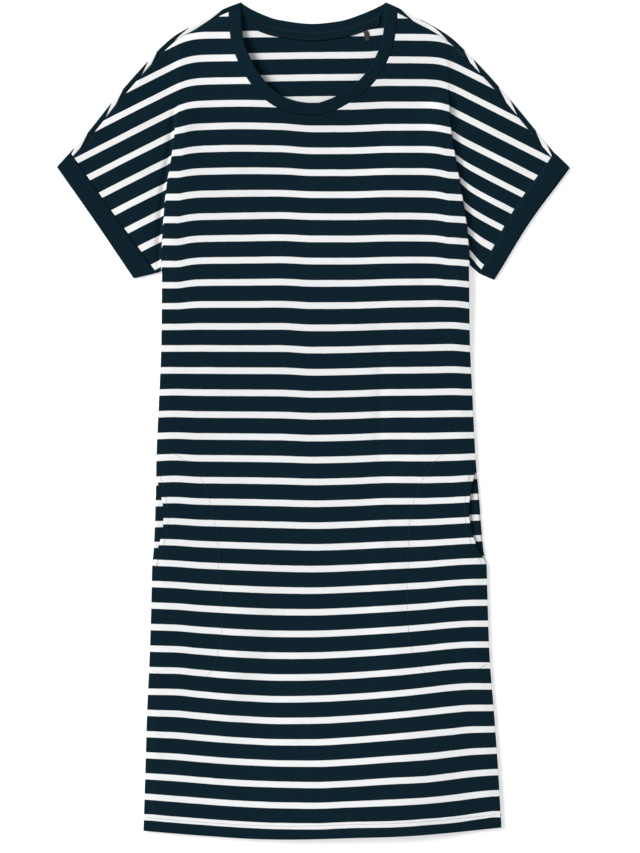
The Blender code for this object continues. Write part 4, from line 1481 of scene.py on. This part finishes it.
def lap_over(side, row, row_uv, seam):
    """Lap of the back over one shoulder: half a turn, then a blend to the seam."""
    outward = left_of(row[:, :2]) * SIGN[side]
    over = half_turn(row, outward, TURN, 1)
    start = row[SHOULDER_COLUMNS, :2].copy()
    start[1] = top_of(shoulder_line(side, seam), abs(start[0]))
    corner = neck_line(FRONT_NECK, -GAP / 2, seam)[0 if side == LEFT else -1]
    edge = np.concatenate([shoulder_row(side, seam, corner, start),
                           overarm(side, seam, start)[1:]])
    lap_end = with_height(edge, over[-1][0, 2])
    lap = [over[-1] * (1 - t) + lap_end * t for t in np.linspace(0, 1, LAP_ROWS)[1:]]
    grid = np.stack([row] + over + lap)
    unrolled = row[None, :, :2] + outward[None] * run_of(grid)[..., None]
    on_arm = np.arange(len(row))[None, :, None] > SHOULDER_COLUMNS
    uv = np.where(on_arm, back_cloth(unrolled, "sleeve"), back_cloth(unrolled))
    uv[0] = row_uv
    return grid, uv


back_grids, back_rows = panel(back_neck_line(GAP), neck_shares(BACK_CORNER, NECK_COLUMNS),
                              FOLD_REACH, back_layers, ground_lift, 1, no_inset, back_cloth)
back_grids += [lap_over(side, *back_rows[side], SHOULDER_SEAM - GAP / 2) for side in SIDES]
back = make_piece("back_panel_cloth", back_grids, striped_jersey, WALL)
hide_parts("back_panel")
print("back:", len(back.data.polygons), "faces,", round(area_of(back), 3), "square metres")

# %% [markdown]
# ## Neckband
#
# The neckband is a doubled strip, sewn on so that its folded edge is free. On the front it
# follows the curve of the neckline and stands up a little, at each shoulder it folds over,
# and round the back it lies flat. It is a strip along a closed line, and its middle surface
# runs from the seam to the free edge. Where its two ends are joined, at the middle of the
# front, a shallow groove crosses it.

# %% The neckband
BAND_FRONT_LEVEL = 2.0
BAND_POINTS = 15
BAND_STATIONS = 150
BACK_STATIONS = 70
BAND_SETTLES = 0.04
JOIN_ACROSS = 1.5
JOIN_WIDTH = 0.9
JOIN_DEPTH = 0.92
# distances from the join at which the band has stations, and where its even ones begin
JOIN_STATIONS = np.array([-3, -2, -1.4, -1, -0.6, -0.3, 0, 0.3, 0.6, 1, 1.4, 2, 3])
JOIN_CLEAR = 4.5
# above this height the seam runs up beside the neck, so the join isn't looked for there
NECK_SIDES = 900.0


def band_half(seam_line, free_line, shares, level):
    """Middle surface of one half of the band: blend from seam to free edge at each station."""
    w = np.linspace(0, 1, BAND_POINTS)[None, :, None]
    seam_points = along(seam_line, shares)[:, None]
    free_points = along(free_line, shares)[:, None]
    return with_height(seam_points * (1 - w) + free_points * w, level)


front_seam = neck_line(FRONT_NECK, GAP / 2, FOLD_REACH)
band_long = run_of(front_seam)[-1]
on_front = np.where(front_seam[:, 1] > NECK_SIDES, np.inf, np.abs(front_seam[:, 0] - JOIN_ACROSS))
join = run_of(front_seam)[np.argmin(on_front)] / band_long
even = np.linspace(0, 1, BAND_STATIONS + 1)
even = even[np.abs(even - join) > JOIN_CLEAR / band_long]
shares = np.sort(np.concatenate([even, join + JOIN_STATIONS / band_long]))
front_half = band_half(front_seam, free_edge, shares, BAND_FRONT_LEVEL)
standing = ease(np.minimum(shares, 1 - shares) / BAND_SETTLES)
front_half[..., 2] += front_lift(front_half) * standing[:, None]
back_half = band_half(back_neck_line(GAP / 2), back_neck_line(BAND_WIDTH),
                      np.linspace(0, 1, BACK_STATIONS), WALL / 2)[::-1]
turn = (BAND_FRONT_LEVEL - WALL / 2) / 2
band_folds = []
for station, up in ((front_half[-1], -1), (back_half[-1], 1)):
    way = station[0, :2] - station[-1, :2]
    outward = np.array([-way[1], way[0]]) / np.linalg.norm(way)
    outward *= math.copysign(1.0, outward[1])
    band_folds.append(np.stack(half_turn(station, outward, turn, up)[:-1]))
band_middle = np.concatenate([front_half, band_folds[0], back_half, band_folds[1]])
groove = np.ones(len(band_middle))
groove[:len(shares)] -= JOIN_DEPTH * np.exp(-((shares - join) * band_long / JOIN_WIDTH) ** 2)
band_grid = rounded_strip(band_middle, WALL, ring=True, thinner=groove)
band = make_piece("neckband_cloth", [(band_grid, strip_uv(band_grid, BAND_WIDTH))],
                  plain_jersey, ring=True, tube=True)
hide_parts("neckband")
print("neckband:", round(float(run_of(band_middle[:, 0])[-1])), "mm round")

# %% [markdown]
# ## The tape and its tab
#
# A narrow tape covers the seam at the back of the neck, and a small loop of woven tape hangs
# from its lower edge. The tape follows the neckline at nine distances from it. The loop is a
# strip that goes down, turns over once at its foot and comes back up, with a little slack.

# %% The tape
TAPE_WIDTH = 10.5
TAPE_RISE = 5.0
TAPE_ENDS = (-77.0, 80.0)
TAPE_POINTS = 9
TAPE_STATIONS = 60
tape_level = WALL / 2 + LAYER


def tape_line(inset, short=0.0):
    """Line along the tape, at an inset from the seam of the neckband."""
    line = neck_line(BACK_NECK, inset, FOLD_REACH)
    return line[(line[:, 0] > TAPE_ENDS[LEFT] + short) & (line[:, 0] < TAPE_ENDS[RIGHT] - short)]


tape_middle = np.stack([
    with_height(along(tape_line(inset), np.linspace(0, 1, TAPE_STATIONS)), tape_level)
    for inset in np.linspace(TAPE_RISE, TAPE_RISE - TAPE_WIDTH, TAPE_POINTS)], axis=1)
tape_grid = capped(rounded_strip(tape_middle, WALL))
tape = make_piece("neck_tape_cloth", [(tape_grid, strip_uv(tape_grid, TAPE_WIDTH))],
                  plain_jersey, tube=True)
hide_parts("neck_tape")
print("tape", round(run_of(tape_middle[:, 0])[-1]), "mm long")

# %% [markdown]
# ### The tab
#
# The loop hangs a little askew. It is bare, and only its foot is in sight.

# %% The tab
TAB_WIDTH = 6.0
TAB_LENGTH = 11.5
TAB_PLACE = 62.5
TAB_WALL = 0.42
TAB_SLANT = 0.22
TAB_SLACK = 0.5
TAB_TURN = 0.3
TAB_SINKS = 0.27
TAB_ROWS = 12
TAB_BEND_POINTS = 9
TAB_COLUMNS = 7
tab_line = neck_line(BACK_NECK, TAPE_RISE - TAPE_WIDTH - GAP, FOLD_REACH)
tab_top = float(np.interp(TAB_PLACE, tab_line[:, 0], tab_line[:, 1]))
tab_foot = tab_top - TAB_LENGTH + TAB_TURN
tab_low = tape_level - TAB_SINKS
bend = np.linspace(0, math.pi, TAB_BEND_POINTS)
path_y = np.concatenate([np.linspace(tab_top, tab_foot, TAB_ROWS)[:-1],
                         tab_foot - TAB_TURN * np.sin(bend),
                         np.linspace(tab_foot, tab_top, TAB_ROWS)[1:]])
path_z = np.concatenate([np.full(TAB_ROWS - 1, tab_low), tab_low + TAB_TURN * (1 - np.cos(bend)),
                         np.full(TAB_ROWS - 1, tab_low + 2 * TAB_TURN)])
slack = TAB_SLACK * np.sin(np.clip((tab_top - path_y) / TAB_LENGTH, 0, 1) * math.pi)
path_z = path_z + slack * np.linspace(0, 1, len(path_z))
tab_x = TAB_PLACE + TAB_WIDTH * np.linspace(-0.5, 0.5, TAB_COLUMNS)
slanted = tab_x[None] - TAB_SLANT * (path_y[:, None] - tab_top)
tab_middle = np.stack(np.broadcast_arrays(slanted, path_y[:, None], path_z[:, None]), axis=-1)
tab_grid = capped(rounded_strip(tab_middle, TAB_WALL))
tab = make_piece("neck_tab_loop", [(tab_grid, strip_uv(tab_grid, TAB_WIDTH))],
                 tab_tape, tube=True)
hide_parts("neck_tab")
print("tab", TAB_LENGTH, "mm long")

# %% [markdown]
# ## Cuffs
#
# A cuff is a doubled ring, pressed flat: one layer on the surface, the other above it, and two
# round folds. It is wider round than the sleeve's own edge is long, which shows as a sharp
# line where it starts. Its middle surface is a ring that is carried from the seam to the free
# edge, and the strip around it is rounded, so a small ditch is left at the seam.

# %% Both cuffs
CUFF_EDGE_TOP = (306.8, 803.8, 306.8, 803.0)
CUFF_EDGE_BOTTOM = (214.8, 670.4, 216.0, 668.5)
CUFF_EDGE_BOW = (0.6, 3.2)
CUFF_WALL = 1.2
CUFF_GAP = 0.4
CUFF_TURN = (CUFF_WALL + CUFF_GAP) / 2
CUFF_POINTS = 13
CUFF_ROUND = 8
CUFF_STATIONS = 61
# how far the upper layer swells, and how unevenly along the cuff
CUFF_SWELL = 0.55
SWELL_EVEN, SWELL_UNEVEN = 0.4, 0.6
SWELL_TURNS, SWELL_SHIFT = 5.1, 2.0
SWELL_SEAM = 0.25


def cuff_ring(side, share):
    """Flattened ring at a share of the way from the seam to the free edge."""
    inner = (corner_of(side, CUFF_SEAM_TOP), corner_of(side, CUFF_SEAM_BOTTOM))
    outer = (corner_of(side, CUFF_EDGE_TOP), corner_of(side, CUFF_EDGE_BOTTOM))
    outwards = (outer[0] + outer[1] - inner[0] - inner[1]) / 2
    shift = outwards / np.linalg.norm(outwards) * GAP / 2 * (1 - share)
    top, bottom = (start + (end - start) * share + shift for start, end in zip(inner, outer))
    way = (bottom - top) / np.linalg.norm(bottom - top)
    run = np.linspace(0, 1, CUFF_STATIONS)
    reach = CUFF_TURN + CUFF_WALL / 2
    line = straight(top + way * reach, bottom - way * reach, run)
    bow = CUFF_SEAM_BOW[side] * (1 - share) + CUFF_EDGE_BOW[side] * share
    line = line + inwards_of(side, way) * (bow * bow_of(run))[:, None]
    uneven = SWELL_EVEN + SWELL_UNEVEN * np.sin(SWELL_TURNS * run + SWELL_SHIFT * side + 1) ** 2
    swell = CUFF_SWELL * np.sin(math.pi * run) * uneven
    swell = swell * math.sin(math.pi * min(share + SWELL_SEAM, 1))
    low = CUFF_WALL / 2
    front_line = with_height(line, low + 2 * CUFF_TURN + swell)
    back_line = with_height(line[::-1], low)
    round_bottom = half_turn(front_line[-1], way, CUFF_TURN, -1, steps=CUFF_ROUND)[:-1]
    round_top = half_turn(back_line[-1], -way, CUFF_TURN, 1, steps=CUFF_ROUND)[:-1]
    return np.concatenate([front_line, round_bottom, back_line, round_top])


for side in SIDES:
    middle = np.stack([cuff_ring(side, share) for share in np.linspace(0, 1, CUFF_POINTS)], axis=1)
    grid = rounded_strip(middle, CUFF_WALL, ring=True)
    name = f"cuff_{SIDE_NAMES[side]}"
    # A cuff is about as deep as one repeat of the stripes
    piece = make_piece(name + "_cloth", [(grid, strip_uv(grid, REPEAT))], plain_jersey,
                       ring=True, tube=True)
    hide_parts(name)
    print(name, "is", round(float(run_of(middle[:, 0])[-1])), "mm round")

# %% [markdown]
# ## Pocket bags
#
# Each bag is one layer of the striped cloth, sewn flat to the inside of the front, with its
# edge in the side seam. Only the sliver in the mouth shows, and there its stripes don't quite
# meet the front's, because it was cut from another part of the cloth.

# %% Both bags
POCKET_FOOT = (200.0, 208.0)
POCKET_STRIPES_UP = (-3.5, 2.4)
POCKET_ROWS = 70
POCKET_COLUMNS = 26


def bag_line(side, allowance):
    """Outline of a pocket bag from top to foot, an allowance outside of its stitching."""
    curve = smooth_line([(row[0], row[1 + side] + allowance) for row in POCKET_STITCH])
    return curve[:, 0], curve[:, 1]


for side in SIDES:
    heights = np.linspace(POCKET_TOP, POCKET_FOOT[side], POCKET_ROWS)
    edge = on_side(side, body_edge(side, heights), heights)
    curve = np.stack(bag_line(side, POCKET_ALLOWANCE), axis=1)
    curve = along(curve, np.linspace(0, 1, POCKET_ROWS))
    inner = on_side(side, body_edge(side, curve[:, 0]) - curve[:, 1], curve[:, 0])
    shares_across = np.linspace(0, 1, POCKET_COLUMNS)
    top = straight(edge[0], inner[0], shares_across)
    bottom = straight(edge[-1], inner[-1], shares_across)
    bottom[:, 1] -= POCKET_SAG * np.sin(math.pi * shares_across)
    grid = patch(edge, inner, top, bottom)
    uv = front_cloth(grid + np.array([0.0, -POCKET_STRIPES_UP[side]]))
    solid_grid = with_height(grid, WALL / 2 + LAYER + ground_lift(grid))
    name = f"pocket_{SIDE_NAMES[side]}"
    piece = make_piece(name + "_cloth", [(solid_grid, uv)], striped_jersey, WALL)
    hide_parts(name)
    print(name, "covers", round(area_of(piece), 3), "square metres")

# %% [markdown]
# ## Stitching
#
# Thread is thin, but on the white stripes it shows as a fine grey line: round each pocket bag,
# beside each mouth, in a short bar below the mouth, and along the hem. A line could be drawn
# in the material, yet real stitches are separate little lengths of thread that dip into the
# cloth. So one stitch is a small tapered tube, repeated along the path with whole arrays.

# %% Stitches
STITCH_PITCH = 2.6
STITCH_LENGTH = 2.4
THREAD = 0.16
THREAD_PROUD = 0.03
THREAD_DIPS = 0.16
THREAD_END = 0.02
RINGS_AT = np.array([-1.0, -0.8, -0.35, 0.35, 0.8, 1.0])
SPOKES = 6


def stitches(name, path, height_of, above=WALL / 2, pitch=STITCH_PITCH, length=STITCH_LENGTH):
    """Tubes along a path: centre + tangent × length × t, + radius × √(1 - t⁴) round the tube."""
    count = max(int(run_of(path)[-1] / pitch), 1)
    centres = along(path, (np.arange(count) + 0.5) / count)
    ahead = along(path, np.clip((np.arange(count) + 0.6) / count, 0, 1))
    tangent = ahead - centres
    tangent /= np.linalg.norm(tangent, axis=1)[:, None]
    beside = np.stack([-tangent[:, 1], tangent[:, 0]], axis=1)
    angle = np.linspace(0, 2 * math.pi, SPOKES + 1)[:-1]
    radius = THREAD * np.sqrt(np.maximum(1 - RINGS_AT ** 4, THREAD_END))
    plan = centres[:, None] + tangent[:, None] * (RINGS_AT * length / 2)[None, :, None]
    ring = beside[:, None, None] * (radius[:, None] * np.cos(angle)[None])[None, ..., None]
    top = height_of(plan) + above + THREAD_PROUD - THREAD_DIPS * (RINGS_AT ** 4)[None]
    z = top[:, :, None] + (radius[:, None] * np.sin(angle)[None])[None]
    tubes = with_height(plan[:, :, None] + ring, z)
    number, rings, spokes = tubes.shape[:3]
    base = (np.arange(number) * rings * spokes)[:, None, None]
    quads = [grid_faces(rings, spokes, tube=True)]
    for cap in (np.arange(spokes)[::-1], np.arange((rings - 1) * spokes, rings * spokes)):
        quads.append(np.stack([cap[[0, 1, 2, 3]], cap[[0, 3, 4, 5]]]))
    faces = (np.concatenate(quads)[None] + base).reshape(-1, 4)
    return add_mesh(name, tubes.reshape(-1, 3), faces, navy_thread)


HEM_STITCH_UP = 16.3
HEM_STITCHED = (-200.0, 218.0)
hem_across = np.linspace(*HEM_STITCHED, SAMPLES)
hem_path = np.stack([hem_across, hem_height(hem_across) + HEM_STITCH_UP], axis=1)
front_sewing = [stitches("hem_stitching", hem_path, front_height)]
print("the hem has", int(run_of(hem_path)[-1] / STITCH_PITCH), "stitches")

# %% [markdown]
# ### Sewing of the pockets
#
# The bag is sewn to the front along its curve, from just inside the side seam and back to it.
# The mouth has a line of its own, and a short slanted bar of close stitches below it takes the
# strain.

# %% Sewing of the pockets
BAG_START = (2.0, 2.0)
BAG_LOW = (40.0, 186.0, 187.0)
BAG_END = (2.0, 3.0)
MOUTH_STITCH_IN = 5.4
MOUTH_STITCH_ENDS = (2.0, 6.0)
# in from the body's edge and down from the mouth's foot, at the bar's two ends
BAR_IN = (8.0, 3.0)
BAR_DOWN = (0.0, 6.5)
BAR_PITCH, BAR_LENGTH = 0.9, 1.1


def inside_edge(side, inset, height, edge_height=None):
    """One point at an inset from the body's edge."""
    out = body_edge(side, height if edge_height is None else edge_height) - inset
    return np.array([[SIGN[side] * out, height]])


for side in SIDES:
    side_name = SIDE_NAMES[side]
    heights, insets = bag_line(side, 0.0)
    bag = on_side(side, body_edge(side, heights) - insets, heights)
    low_in, low_edge, low = BAG_LOW
    bag = np.concatenate([inside_edge(side, BAG_START[0], POCKET_TOP + BAG_START[1]), bag,
                          inside_edge(side, low_in, low, low_edge),
                          inside_edge(side, BAG_END[0], POCKET_FOOT[side] + BAG_END[1])])
    bag = along(bag, np.linspace(0, 1, SAMPLES))
    front_sewing.append(stitches(f"pocket_stitching_{side_name}", bag, front_height))
    top, bottom, _ = MOUTH[side]
    down = np.linspace(top + MOUTH_STITCH_ENDS[0], bottom - MOUTH_STITCH_ENDS[1], SAMPLES)
    mouth_out = body_edge(side, down) - mouth_inset(side, down) - MOUTH_STITCH_IN
    mouth_path = on_side(side, mouth_out, down)
    front_sewing.append(stitches(f"mouth_stitching_{side_name}", mouth_path, front_height))
    bar_edge = float(body_edge(side, bottom + 1.0))
    bar = on_side(side, bar_edge - np.array(BAR_IN), bottom - np.array(BAR_DOWN))
    front_sewing.append(stitches(f"mouth_bar_{side_name}", bar, front_height,
                                 pitch=BAR_PITCH, length=BAR_LENGTH))
print("sewn lines on the front:", len(front_sewing))

# %% [markdown]
# ### Sewing of the tape
#
# The tape is sewn down along both of its edges. Its stitches sink in a little more than the
# others, because the thread is pulled tight over the seam.

# %% Sewing of the tape
TAPE_STITCH_IN = 1.4
TAPE_STITCH_SINKS = 0.04


def tape_height(points):
    """Middle surface of the tape, which is level."""
    return np.full(points.shape[:-1], tape_level)


tape_sewing = [
    stitches(name, tape_line(inset, short=1.0), tape_height, above=WALL / 2 - TAPE_STITCH_SINKS)
    for name, inset in (("tape_stitching_top", TAPE_RISE - TAPE_STITCH_IN),
                        ("tape_stitching_low", TAPE_RISE - TAPE_WIDTH + TAPE_STITCH_IN))]
print("sewn lines on the tape:", len(tape_sewing))

# %% [markdown]

# %% [markdown]
# ## The surface
#
# The garment lies on a plain white table. In the photo the white is so even that it has no
# edge and no shade of its own, only the garment's faint shadow. A plane that glows a little
# does that, while it still takes shadows.

# %% Floor
FLOOR_HALF = 6
FLOOR_DROP = -0.0004
FLOOR_GLOW = 0.55
FLOOR_NOISE = 3.0
FLOOR_TONES = (0.59, 0.61)
floor_material = Nodes("pale_floor")
floor_place = floor_material.add("ShaderNodeTexCoord").outputs["Object"]
floor_noise = floor_material.noise(floor_place, FLOOR_NOISE)
floor_tone = floor_material.blend(floor_noise, *[tint((1, 1, 1), tone) for tone in FLOOR_TONES])
floor_material.surface(Base_Color=floor_tone, Emission_Color=(1.0, 1.0, 1.0, 1.0),
                       Emission_Strength=FLOOR_GLOW, Roughness=0.95, Specular_IOR_Level=0.0)
floor_data = bpy.data.meshes.new("floor")
floor_data.from_pydata([(x * FLOOR_HALF, y * FLOOR_HALF, FLOOR_DROP)
                        for x, y in ((-1, -1), (1, -1), (1, 1), (-1, 1))], [], [(0, 1, 2, 3)])
floor = bpy.data.objects.new("floor", floor_data)
floor_data.materials.append(floor_material.material)
bpy.context.scene.collection.objects.link(floor)
floor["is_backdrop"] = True
print("floor is", 2 * FLOOR_HALF, "m square")

# %% [markdown]
# ## Light
#
# A catalogue picture is lit by large soft boxes. The light comes mostly from the upper left, so
# a faint shadow falls to the garment's lower right. A sun lamp with a wide disc is the simplest
# soft light that is the same all over a flat subject, and a pale world fills the shadows.

# %% Light
KEY_FROM = (-1.0, 0.5)
KEY_HEIGHT = math.radians(35.0)
KEY_SPREAD = 0.48
KEY_STRENGTH = 3.55
FILL_COLOUR = (0.97, 0.985, 1.0, 1.0)
FILL_STRENGTH = 0.42
scene = bpy.context.scene
scene.view_settings.view_transform = "Standard"
world = bpy.data.worlds.new("studio")
scene.world = world
world.use_nodes = True
background = world.node_tree.nodes["Background"]
background.inputs[0].default_value = FILL_COLOUR
background.inputs[1].default_value = FILL_STRENGTH
key_data = bpy.data.lights.new("key", "SUN")
key_data.energy = KEY_STRENGTH
key_data.angle = KEY_SPREAD
key = bpy.data.objects.new("key", key_data)
key.rotation_euler = (0.0, math.pi / 2 - KEY_HEIGHT, math.atan2(KEY_FROM[1], KEY_FROM[0]))
scene.collection.objects.link(key)
print("key light stands", round(math.degrees(KEY_HEIGHT)), "degrees up")

# %% [markdown]
# ## Camera
#
# The camera looks straight down. A long lens from far away keeps the outline nearly free of
# perspective, as in a catalogue picture. The frame is as wide and tall as the photo at the
# garment's scale, and its middle is where the photo's middle lies on the table.

# %% Camera
PIXEL = 1.195 * MM
FRAME_WIDE = 640 * PIXEL
FRAME_TALL = 853 * PIXEL
FRAME_MIDDLE = (0.00783, -0.00659)
FOCUS_HEIGHT = 0.003
SENSOR = 36.0
LENS = 130.0
SEES_TO = 50.0
camera_data = bpy.data.cameras.new("camera")
camera_data.sensor_fit = "VERTICAL"
camera_data.sensor_height = SENSOR
camera_data.sensor_width = SENSOR * FRAME_WIDE / FRAME_TALL
camera_data.lens = LENS
camera_data.clip_end = SEES_TO
camera = bpy.data.objects.new("camera", camera_data)
camera.location = (*FRAME_MIDDLE, FRAME_TALL * LENS / SENSOR + FOCUS_HEIGHT)
scene.collection.objects.link(camera)
scene.camera = camera
print("camera", round(camera.location.z, 2), "m up")

# %% [markdown]
# ## Sizes, and the end
#
# The box of everything made here, without the floor, is printed. Cloth may stand a little
# proud of its solid, and nothing else may.

# %% Sizes, and the end
low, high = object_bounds()
print("visual ", np.round(low, 4), np.round(high, 4))
